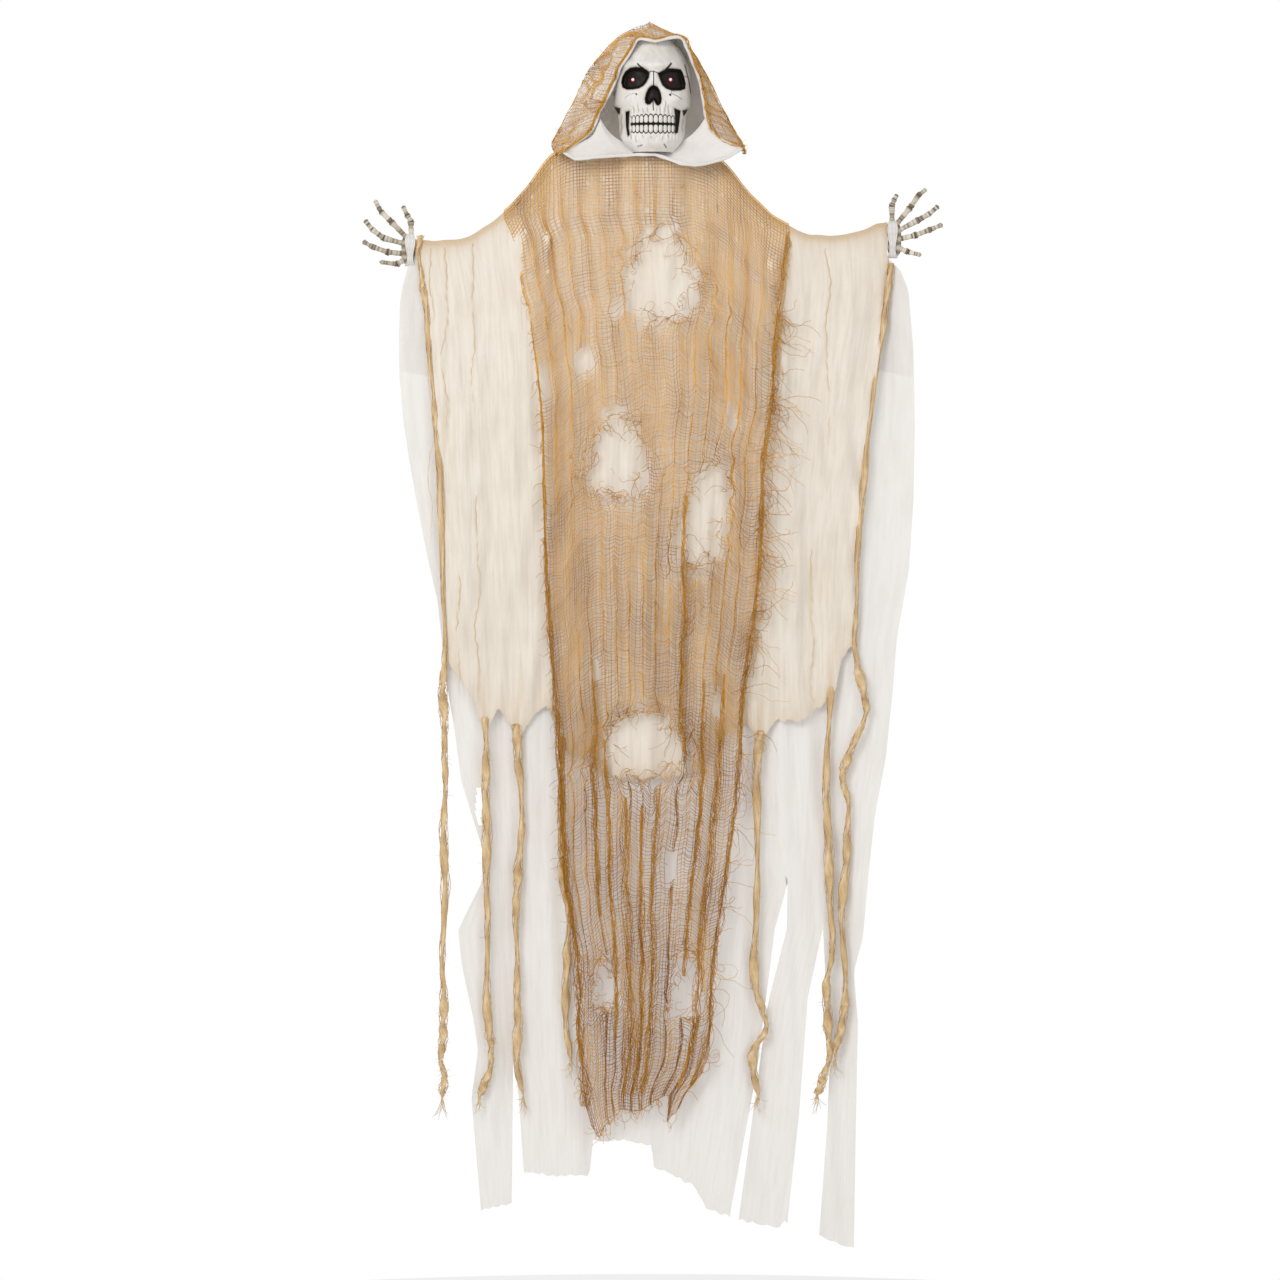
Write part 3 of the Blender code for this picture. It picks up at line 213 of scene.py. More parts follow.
def new_piece(name: str, points: Array, faces: list, values: dict[str, Array] | None = None,
              uv: Array | None = None) -> Piece:
    """Make a smooth-shaded object from points in millimetres.

    Args:
        name: Name of the piece.
        points: Its points, one per row.
        faces: Lists of point indices.
        values: Named attributes, one number per point.
        uv: Two numbers per point, used as the piece's own UV map.

    Returns:
        The object, at the origin.
    """
    used, place = np.unique(np.concatenate([np.ravel(f) for f in faces]), return_inverse=True)
    sizes = [np.shape(f) for f in faces]
    split = np.split(place, np.cumsum([rows * sides for rows, sides in sizes])[:-1])
    listed = [row for part, size in zip(split, sizes) for row in part.reshape(size).tolist()]
    mesh = bpy.data.meshes.new(name)
    mesh.from_pydata((points[used] * MM).tolist(), [], listed)
    for key, numbers in (values or {}).items():
        attribute = mesh.attributes.new(key, "FLOAT", "POINT")
        attribute.data.foreach_set("value", np.asarray(numbers, np.float32).ravel()[used])
    if uv is not None:
        layer = mesh.uv_layers.new(name="UVMap")
        corners = np.empty(len(mesh.loops), int)
        mesh.loops.foreach_get("vertex_index", corners)
        layer.data.foreach_set("uv", uv.reshape(-1, 2)[used][corners].astype(np.float32).ravel())
    mesh.shade_smooth()
    made = bpy.data.objects.new(name, mesh)
    bpy.context.scene.collection.objects.link(made)
    return made


def cells(alive: Array, flip: bool = False) -> Array:
    """Corner indices of the cells that are left in a grid with one more line each way.

    Args:
        alive: The cells that are there.
        flip: Turn the faces to the other side.

    Returns:
        Four point indices for each cell.
    """
    lines = alive.shape[1] + 1
    row, column = np.nonzero(alive)
    first = row * lines + column
    quads = np.stack([first, first + lines, first + lines + 1, first + 1], 1)
    return quads[:, ::-1] if flip else quads


def sheet_piece(name: str, points: Array, alive: Array | None = None, flip: bool = False,
                values: dict[str, Array] | None = None,
                wall: Array | None = None) -> Piece:
    """Make a sheet from a grid of points; its UV map is in metres along its rows and lines.

    Args:
        name: Name of the piece.
        points: Grid of points, rows by lines by three.
        alive: The cells that are there; all of them if left out.
        flip: Turn the faces to the other side.
        values: Named attributes, one number per grid point.
        wall: A second grid, for a sheet with two sides joined along every open edge.

    Returns:
        The object.
    """
    rows, lines = points.shape[:2]
    alive = np.ones((rows - 1, lines - 1), bool) if alive is None else alive
    quads = cells(alive, flip)
    across = np.linalg.norm(np.diff(points, axis=1), axis=2)
    down = np.linalg.norm(np.diff(points, axis=0), axis=2)
    u = np.concatenate([np.zeros((rows, 1)), np.cumsum(np.broadcast_to(across.mean(0), across.shape), 1)], 1)
    rise = np.broadcast_to(down.mean(1)[:, None], down.shape)
    v = np.concatenate([np.zeros((1, lines)), np.cumsum(rise, 0)], 0)
    uv = np.stack([u, v], -1) * MM
    flat = points.reshape(-1, 3)
    if wall is None:
        return new_piece(name, flat, [quads], values, uv)
    count = len(flat)
    a = quads.ravel()
    b = np.roll(quads, -1, 1).ravel()
    rim = ~np.isin(a * count + b, b * count + a)
    walls = np.stack([b[rim], a[rim], a[rim] + count, b[rim] + count], 1)
    both = {key: np.tile(np.ravel(number), 2) for key, number in (values or {}).items()}
    return new_piece(name, np.vstack([flat, wall.reshape(-1, 3)]), [quads, quads[:, ::-1] + count, walls],
                     both, np.concatenate([uv.reshape(-1, 2)] * 2))


def tube_faces(alive: Array, sides: int) -> tuple[Array, Array]:
    """Side faces and end caps of tubes whose stretches are left where alive is true.

    Args:
        alive: One row per tube, one place per stretch between two rings.
        sides: Points in each ring.

    Returns:
        Four-sided wall faces, and caps with one point per side.
    """
    tube, stretch = np.nonzero(alive)
    rings = alive.shape[1] + 1
    first = ((tube * rings + stretch) * sides)[:, None] + np.arange(sides)
    after = np.roll(first, -1, 1)
    walls = np.stack([after, first, first + sides, after + sides], -1).reshape(-1, 4)
    edge = np.zeros((len(alive), 1), bool)
    starts = alive & ~np.concatenate([edge, alive[:, :-1]], 1)
    ends = alive & ~np.concatenate([alive[:, 1:], edge], 1)
    tube, stretch = np.nonzero(starts)
    heads = ((tube * rings + stretch) * sides)[:, None] + np.arange(sides)
    tube, stretch = np.nonzero(ends)
    tails = ((tube * rings + stretch + 1) * sides)[:, None] + np.arange(sides)[::-1]
    return walls, np.vstack([heads, tails])


def tubes(name: str, paths: Array, radius: Array | float, sides: int = 3,
          alive: Array | None = None, values: dict[str, Array] | None = None,
          flat: float = 1.0, twist: Array | float = 0.0) -> Piece:
    """Closed tubes carried along paths.

    A point of a ring is path + r (cos a s + flat sin a n), where s and n are square to the path and a
    goes once round, turned by twist.

    Args:
        name: Name of the piece.
        paths: Tubes by points by three.
        radius: Radius at each point.
        sides: Points in each ring.
        alive: The stretches that are there; all of them if left out.
        values: Named attributes, one number per path point.
        flat: Depth of a ring as a share of its width.
        twist: Turn of each ring about the path, in radians.

    Returns:
        The object.
    """
    count, length = paths.shape[:2]
    along = unit(np.gradient(paths, axis=1))
    start = np.where(np.abs(along[..., 1:2]) < 0.9, (0.0, 1.0, 0.0), (0.0, 0.0, 1.0))
    side = unit(np.cross(along, start))
    rise = np.cross(along, side)
    radius = np.broadcast_to(radius, (count, length))[..., None, None]
    angle = (np.arange(sides) * 2 * math.pi / sides)[None, None, :, None]
    turn = np.broadcast_to(twist, (count, length))[..., None, None]
    ca, sa = np.cos(angle), flat * np.sin(angle)
    ring = ((ca * np.cos(turn) - sa * np.sin(turn)) * side[:, :, None]
            + (ca * np.sin(turn) + sa * np.cos(turn)) * rise[:, :, None])
    points = (paths[:, :, None] + ring * radius).reshape(-1, 3)
    alive = np.ones((count, length - 1), bool) if alive is None else alive
    walls, caps = tube_faces(alive, sides)
    spread = {key: np.repeat(np.ravel(number), sides) for key, number in (values or {}).items()}
    made = new_piece(name, points, [walls, caps], spread)
    face_outwards(made)
    return made


def face_outwards(made: Piece) -> None:
    """Turn a closed mesh inside out if its signed volume is negative.

    Args:
        made: The object to turn.
    """
    mesh = made.data
    mesh.calc_loop_triangles()
    corners = np.empty(len(mesh.loop_triangles) * 3, int)
    mesh.loop_triangles.foreach_get("vertices", corners)
    points = np.empty(len(mesh.vertices) * 3)
    mesh.vertices.foreach_get("co", points)
    tri = points.reshape(-1, 3)[corners.reshape(-1, 3)]
    if np.einsum("ij,ij->i", tri[:, 0], np.cross(tri[:, 1], tri[:, 2])).sum() < 0:
        mesh.flip_normals()


def curl(start: Array, heading: Array, length: Array, seed: int, points: int = 9,
         droop: float = 0.6, wander: float = 0.5) -> Array:
    """Loose threads: each turns upright by its own curvature, plus small turns, and bends down.

    Args:
        start: First point of each thread.
        heading: First direction of each thread.
        length: Length of each thread.
        seed: Seed of the turns.
        points: Points along each thread.
        droop: How strongly a thread's far end bends down.
        wander: Size of the turns: the whole turn of a thread is about 3 wander radians.

    Returns:
        Threads by points by three.
    """
    draw = np.random.default_rng(seed)
    count = len(start)
    share = np.linspace(0, 1, points - 1)[None]
    turn = draw.normal(0, 3.0 * wander, (count, 1)) * share
    turn = turn + np.cumsum(draw.normal(0, 0.3 * wander, (count, points - 1)), 1)
    angle = np.arctan2(heading[:, 2], heading[:, 0])[:, None] + turn
    flat = np.hypot(heading[:, 0], heading[:, 2])[:, None]
    way = np.stack([flat * np.cos(angle), heading[:, 1:2] * (1 - share), flat * np.sin(angle)], -1)
    way[..., 2] -= 0.9 * droop * share
    steps = unit(way) * (length / (points - 1))[:, None, None]
    return np.concatenate([start[:, None], start[:, None] + np.cumsum(steps, 1)], 1)


# Shader helpers

class Shader:
    """A node tree being wired, with short calls for its nodes."""

    def __init__(self, tree: bpy.types.NodeTree) -> None:
        """Keep the tree."""
        self.tree = tree

    def feed(self, socket: Socket, value: object) -> None:
        """Link a socket to another socket, or set its value.

        Args:
            socket: The input.
            value: A socket to link, or a plain value.
        """
        if isinstance(value, Socket):
            self.tree.links.new(value, socket)
        else:
            socket.default_value = value

    def node(self, kind: str, inputs: dict | None = None, **settings: object) -> bpy.types.Node:
        """Add a node, set its properties, and feed its inputs by name or number.

        Args:
            kind: Type of the node.
            inputs: What feeds each input.
            **settings: Properties of the node.

        Returns:
            The node.
        """
        made = self.tree.nodes.new(kind)
        for key, value in settings.items():
            setattr(made, key, value)
        for key, value in (inputs or {}).items():
            self.feed(made.inputs[key], value)
        return made

    def math(self, operation: str, *values: object) -> Socket:
        """Add a Math node and return its result."""
        made = self.node("ShaderNodeMath", dict(enumerate(values)), operation=operation)
        return made.outputs[0]

    def blend(self, share: object, first: object, second: object) -> Socket:
        """Mix two colours by a share and return the colour."""
        made = self.node("ShaderNodeMix", {0: share, 6: first, 7: second}, data_type="RGBA")
        return made.outputs[2]

    def fit(self, value: object, low: object, high: object, to_low: object = 0.0,
            to_high: object = 1.0) -> Socket:
        """Carry a value from one range to another, clamped."""
        made = self.node("ShaderNodeMapRange", dict(enumerate((value, low, high, to_low, to_high))))
        return made.outputs[0]

    def group(self, tree: bpy.types.NodeTree, **inputs: object) -> bpy.types.Node:
        """Place a node group and feed its inputs by name.

        Args:
            tree: The group.
            **inputs: What feeds each input.

        Returns:
            The node.
        """
        made = self.node("ShaderNodeGroup", node_tree=tree)
        for key, value in inputs.items():
            self.feed(made.inputs[key], value)
        return made

    def cloud(self, place: object, scale: float, detail: float, low: float,
              high: float) -> Socket:
        """Soft patches: noise at a scale, from 0 below low to 1 above high."""
        return self.group(GROUPS["cloud"], Vector=place, Scale=scale, Detail=detail, Low=low,
                          High=high).outputs[0]

    def weave(self, place: object, pitch: float, slack: float) -> dict[str, Socket]:
        """Plain weave over a place: its height, and where thread covers it."""
        return self.group(GROUPS["weave"], Vector=place, Pitch=pitch, Slack=slack).outputs

    def scaled(self, value: object, size: float) -> Socket:
        """A number times a size."""
        return self.math("MULTIPLY", value, size)

    def attribute(self, name: str) -> Socket:
        """Read a number that the mesh carries at its points."""
        return self.node("ShaderNodeAttribute", attribute_name=name).outputs["Fac"]

    def place(self, space: str) -> Socket:
        """Read the piece's own coordinates: Object or UV."""
        return self.node("ShaderNodeTexCoord").outputs[space]


def new_group(name: str, inputs: dict[str, tuple[str, object]], outputs: list[str]) -> tuple:
    """Make an empty shader group.

    Args:
        name: Name of the group.
        inputs: Name of each input with its kind and first value.
        outputs: Names of the number outputs.

    Returns:
        The tree, its wiring helper, the group's input node and its output node.
    """
    tree = bpy.data.node_groups.new(name, "ShaderNodeTree")
    for key, (kind, value) in inputs.items():
        socket = tree.interface.new_socket(key, in_out="INPUT", socket_type=f"NodeSocket{kind}")
        if value is not None:
            socket.default_value = value
    for key in outputs:
        tree.interface.new_socket(key, in_out="OUTPUT", socket_type="NodeSocketFloat")
    return tree, Shader(tree), tree.nodes.new("NodeGroupInput"), tree.nodes.new("NodeGroupOutput")


def cloud_group() -> bpy.types.NodeTree:
    """Soft patches: noise at a scale, stretched to run from 0 below Low to 1 above High.

    Returns:
        The group.
    """
    tree, wire, begin, end = new_group("soft_patches", {
        "Vector": ("Vector", None), "Scale": ("Float", 20.0), "Detail": ("Float", 3.0),
        "Low": ("Float", 0.35), "High": ("Float", 0.65)}, ["Value"])
    fed = {key: begin.outputs[key] for key in ("Vector", "Scale", "Detail")}
    noise = wire.node("ShaderNodeTexNoise", fed)
    spread = wire.fit(noise.outputs[0], begin.outputs["Low"], begin.outputs["High"], 0.0, 1.0)
    wire.feed(end.inputs["Value"], spread)
    return tree


def weave_group() -> bpy.types.NodeTree:
    """Plain weave: ridges |sin(pi u / pitch)| and |sin(pi v / pitch)|; the higher of the two shows.

    Returns:
        The group.
    """
    tree, wire, begin, end = new_group("plain_weave", {
        "Vector": ("Vector", None), "Pitch": ("Float", 0.001), "Slack": ("Float", 0.0)}, ["Height", "Cover"])
    drift = wire.node("ShaderNodeTexNoise", {"Vector": begin.outputs["Vector"], "Scale": 90.0, "Detail": 1.0})
    sway = wire.math("MULTIPLY", drift.outputs[0], begin.outputs["Slack"])
    parts = wire.node("ShaderNodeSeparateXYZ", {0: begin.outputs["Vector"]})
    ridges = []
    for axis in (0, 1):
        phase = wire.math("DIVIDE", wire.math("ADD", parts.outputs[axis], sway), begin.outputs["Pitch"])
        ridges.append(wire.math("ABSOLUTE", wire.math("SINE", wire.math("MULTIPLY", phase, math.pi))))
    height = wire.math("MAXIMUM", *ridges)
    wire.feed(end.inputs["Height"], height)
    wire.feed(end.inputs["Cover"], wire.fit(height, 0.38, 0.66, 0.0, 1.0))
    return tree


GROUPS: dict[str, bpy.types.NodeTree] = {}
MADE: dict[str, bpy.types.Material] = {}


def rgba(colour: Colour) -> tuple[float, float, float, float]:
    """A colour with full alpha."""
    return (*colour, 1.0)


@dataclass(frozen=True)
class Finish:
    """A finish: its name, the record's slot, its colours and its roughness."""

    name: str
    slot: str
    colour: Colour
    deep: Colour
    roughness: float = 0.9
    gloss: float = 0.15

    def build(self) -> bpy.types.Material:
        """Make the material and let the finish wire it.

        Returns:
            The material.
        """
        made = bpy.data.materials.new(self.name)
        made.use_nodes = True
        body = made.node_tree.nodes["Principled BSDF"]
        body.inputs["Roughness"].default_value = self.roughness
        body.inputs["Specular IOR Level"].default_value = self.gloss
        self.wire(Shader(made.node_tree), body.inputs)
        return made

    def wire(self, wire: Shader, body: Inputs) -> None:
        """Feed the inputs of the material's shader."""
        raise NotImplementedError

    def blend(self, wire: Shader, share: object) -> Socket:
        """This finish's two colours, mixed by a share."""
        return wire.blend(share, rgba(self.colour), rgba(self.deep))

    @staticmethod
    def bump(wire: Shader, body: Inputs, height: object, strength: float,
             distance: float) -> None:
        """Bump the surface by a height."""
        made = wire.node("ShaderNodeBump", {"Height": height, "Strength": strength, "Distance": distance})
        wire.feed(body["Normal"], made.outputs[0])

    def wear(self, *pieces: Piece) -> None:
        """Put this finish on pieces.

        Args:
            *pieces: The pieces.
        """
        made = MADE[self.name] = MADE.get(self.name) or self.build()
        for piece in pieces:
            piece.data.materials.clear()
            piece.data.materials.append(made)


@dataclass(frozen=True)
class Gauze(Finish):
    """Woven cloth: weave ridges, gaps between them, soft stains and long faint streaks."""

    pitch: float = 0.0011
    gap_alpha: float = 0.6
    thread_alpha: float = 0.97
    stain_and_shade: Colour = (0.6, 0.45, 0.28)
    stain_share: float = 0.12
    bump_strength: float = 0.25
    sheen: float = 0.15

    def wire(self, wire: Shader, body: Inputs) -> None:
        """Colour from streaks, stain patches and the tint, which on the cuff is painted shade; alpha and bump
        from the weave.

        Args:
            wire: Helper of the material's tree.
            body: Inputs of its shader.
        """
        uv, spot = wire.place("UV"), wire.place("Object")
        weave = wire.weave(uv, self.pitch, self.pitch * 2.5)
        streak = wire.node("ShaderNodeMapping", {"Vector": uv, "Scale": (1.0, 0.09, 1.0)})
        shade = self.blend(wire, wire.cloud(streak.outputs[0], 150.0, 4.0, 0.42, 0.85))
        # The tint blends in the stain colour too: tan on the robe, painted shade in the cuff's grooves.
        for share in (wire.scaled(wire.cloud(spot, 9.0, 5.0, 0.42, 0.72), self.stain_share),
                      wire.attribute("tint")):
            shade = wire.blend(share, shade, rgba(self.stain_and_shade))
        wire.feed(body["Base Color"], shade)
        wire.feed(body["Alpha"], wire.fit(weave["Cover"], 0.0, 1.0, self.gap_alpha, self.thread_alpha))
        self.bump(wire, body, weave["Height"], self.bump_strength, 0.0006)
        body["Sheen Weight"].default_value = self.sheen


@dataclass(frozen=True)
class Felt(Finish):
    """Close plain cloth with creases, for the hood's lining and its hem."""

    pitch: float = 0.0006
    alpha: float = 0.80

    def wire(self, wire: Shader, body: Inputs) -> None:
        """A faint grey painted shade in soft patches; bump from soft creases and a fine weave.

        Args:
            wire: Helper of the material's tree.
            body: Inputs of its shader.
        """
        spot = wire.place("Object")
        weave = wire.weave(wire.place("UV"), self.pitch, self.pitch)
        # Painted shade: a faint grey in soft patches of noise.
        wire.feed(body["Base Color"], self.blend(wire, wire.cloud(spot, 26.0, 4.0, 0.38, 0.75)))
        height = wire.math("ADD", wire.cloud(spot, 38.0, 3.0, 0.3, 0.7), wire.scaled(weave["Height"], 0.12))
        self.bump(wire, body, height, 0.35, 0.0012)
        body["Alpha"].default_value = self.alpha


@dataclass(frozen=True)
class Thread(Finish):
    """Spun thread: light and dark by the shade at its points, with fibres along it."""

    fleck_share: float = 0.22
    patch_share: float = 0.14

    def wire(self, wire: Shader, body: Inputs) -> None:
        """Two browns blended by the shade and broken up by fine noise.

        Args:
            wire: Helper of the material's tree.
            body: Inputs of its shader.
        """
        spot = wire.place("Object")
        fleck = wire.cloud(spot, 420.0, 2.0, 0.3, 0.75)
        share = wire.math("ADD", wire.attribute("shade"), wire.scaled(fleck, self.fleck_share))
        patch = wire.scaled(wire.cloud(spot, 22.0, 3.0, 0.35, 0.7), self.patch_share)
        wire.feed(body["Base Color"], self.blend(wire, wire.fit(wire.math("ADD", share, patch), 0.0, 1.0)))
        self.bump(wire, body, fleck, 0.4, 0.0004)


@dataclass(frozen=True)
class Bone(Finish):
    """Moulded bone: ivory with grey washes and painted shade, and black paint in its recesses."""

    paint: Colour = (0.012, 0.009, 0.008)
    wash_and_shade_tone: Colour = (0.36, 0.3, 0.23)
    grain: float = 0.3
    paint_roughness: float = 0.42

    def wire(self, wire: Shader, body: Inputs) -> None:
        """Ivory with patches, darkened by grey washes and painted shade, painted black by the mesh's mask.

        Args:
            wire: Helper of the material's tree.
            body: Inputs of its shader.
        """
        spot = wire.place("Object")
        ivory = self.blend(wire, wire.cloud(spot, 34.0, 4.0, 0.35, 0.7))
        fine = wire.cloud(spot, 190.0, 4.0, 0.45, 0.7)
        # The mesh's darkening mixes grey washes with painted shade in creases and at the sides; fine grain is
        # added.
        grime = wire.math("ADD", wire.attribute("grime"), wire.scaled(fine, 0.10))
        washed_and_shaded = wire.blend(wire.fit(grime, 0.0, 1.0), ivory, rgba(self.wash_and_shade_tone))
        paint = wire.attribute("paint")
        wire.feed(body["Base Color"], wire.blend(paint, washed_and_shaded, rgba(self.paint)))
        wire.feed(body["Roughness"], wire.fit(paint, 0.0, 1.0, self.roughness, self.paint_roughness))
        self.bump(wire, body, fine, self.grain, 0.0004)


@dataclass(frozen=True)
class Hard(Finish):
    """Plastic, rubber or metal: two close tones, fine grain and worn patches in the gloss."""

    metallic: float = 0.0
    scale: float = 300.0
    worn: float = 0.12

    def wire(self, wire: Shader, body: Inputs) -> None:
        """Tone and roughness from patches, bump from fine grain.

        Args:
            wire: Helper of the material's tree.
            body: Inputs of its shader.
        """
        spot = wire.place("Object")
        patch = wire.cloud(spot, 60.0, 3.0, 0.35, 0.7)
        wire.feed(body["Base Color"], self.blend(wire, patch))
        wire.feed(body["Roughness"], wire.fit(patch, 0.0, 1.0, self.roughness, self.roughness + self.worn))
        self.bump(wire, body, wire.cloud(spot, self.scale, 2.0, 0.3, 0.7), 0.15, 0.0003)
        body["Metallic"].default_value = self.metallic


@dataclass(frozen=True)
class Glow(Finish):
    """A lit lamp: pale in the middle and red towards its rim."""

    centre: tuple[float, float] = (0.0, 0.0)
    radius: float = 0.0025
    strength: float = 0.9

    def wire(self, wire: Shader, body: Inputs) -> None:
        """The distance from the lamp's axis blends pale into red.

        Args:
            wire: Helper of the material's tree.
            body: Inputs of its shader.
        """
        parts = wire.node("ShaderNodeSeparateXYZ", {0: wire.place("Object")})
        off = [wire.math("SUBTRACT", parts.outputs[axis], middle)
               for axis, middle in zip((0, 2), self.centre)]
        far = wire.math("SQRT", wire.math("ADD", *[wire.math("MULTIPLY", value, value) for value in off]))
        tone = self.blend(wire, wire.fit(far, self.radius * 0.25, self.radius * 0.95))
        wire.feed(body["Base Color"], tone)
        wire.feed(body["Emission Color"], tone)
        body["Emission Strength"].default_value = self.strength


LED_LEFT = (-27.0, -81.0)
LED_RIGHT = (29.0, -81.0)
WHITE_GAUZE = Gauze("white_gauze", "white_cloth", (0.82, 0.79, 0.75), (0.74, 0.705, 0.66), 0.92,
                    pitch=0.0009, gap_alpha=0.7, thread_alpha=0.9, stain_and_shade=(0.72, 0.65, 0.56), sheen=0.1)
CREAM_GAUZE = Gauze("cream_weave", "cream_gauze", (0.86, 0.795, 0.70), (0.74, 0.66, 0.55), 0.92,
                    pitch=0.0012, gap_alpha=0.72, thread_alpha=0.96, stain_and_shade=(0.62, 0.44, 0.25),
                    bump_strength=0.4)
# The cuff's stain colour also serves as painted shade in the grooves between its wraps.
CUFF_GAUZE = Gauze("cuff_gauze", "white_cloth", (0.82, 0.80, 0.77), (0.66, 0.63, 0.6), 0.92,
                   pitch=0.0008, gap_alpha=0.93, thread_alpha=1.0, stain_and_shade=(0.5, 0.44, 0.38), bump_strength=0.5)
TAN_GAUZE = Thread("tan_strand", "cream_gauze", (0.80, 0.61, 0.36), (0.47, 0.30, 0.145), 0.95, 0.05)
NET_THREAD = Thread("net_thread", "brown_net", (0.92, 0.53, 0.11), (0.37, 0.142, 0.014), 0.95, 0.02)
LINING = Felt("lining_felt", "lining_cloth", (0.88, 0.855, 0.83), (0.79, 0.755, 0.72), 0.9)
SKULL = Bone("skull_bone", "bone_plastic", (0.80, 0.775, 0.735), (0.68, 0.65, 0.60), 0.55)
HAND = Bone("hand_bone", "hand_plastic", (0.76, 0.71, 0.61), (0.40, 0.34, 0.25), 0.6,
            paint=(0.045, 0.03, 0.018), wash_and_shade_tone=(0.20, 0.15, 0.10))
STEEL = Hard("bright_steel", "steel", (0.62, 0.62, 0.62), (0.5, 0.5, 0.5), 0.3, 0.5, metallic=1.0)
BLACK_CASE = Hard("black_case", "black_plastic", (0.02, 0.02, 0.02), (0.03, 0.03, 0.03), 0.4, 0.5)
GREY_KNOB = Hard("grey_knob", "knob_plastic", (0.5, 0.5, 0.5), (0.42, 0.42, 0.42), 0.45, 0.5)
CELL_SKIN = Hard("cell_skin_green", "cell_skin", (0.08, 0.2, 0.1), (0.05, 0.15, 0.08), 0.3, 0.5)
PALE_FOAM = Hard("pale_foam", "foam", (0.75, 0.74, 0.7), (0.62, 0.6, 0.56), 0.85, scale=900.0)
RED_LEAD = Hard("red_lead_skin", "red_lead", (0.5, 0.03, 0.03), (0.36, 0.02, 0.02), 0.4, 0.5)


def lamp_finish(side: str, centre: tuple[float, float]) -> Glow:
    """The finish of one eye light, centred on its own axis."""
    return Glow(f"{side}_lamp", "red_light", (1.0, 0.74, 0.74), (0.80, 0.045, 0.08), 0.2,
                centre=(centre[0] * MM, centre[1] * MM))


def stand_for(node: str) -> None:
    """Let a cloth stand for a node of the frame by hiding that node.

    Args:
        node: Node that it stands for.
    """
    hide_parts(node)


# The cloth over the arm wire

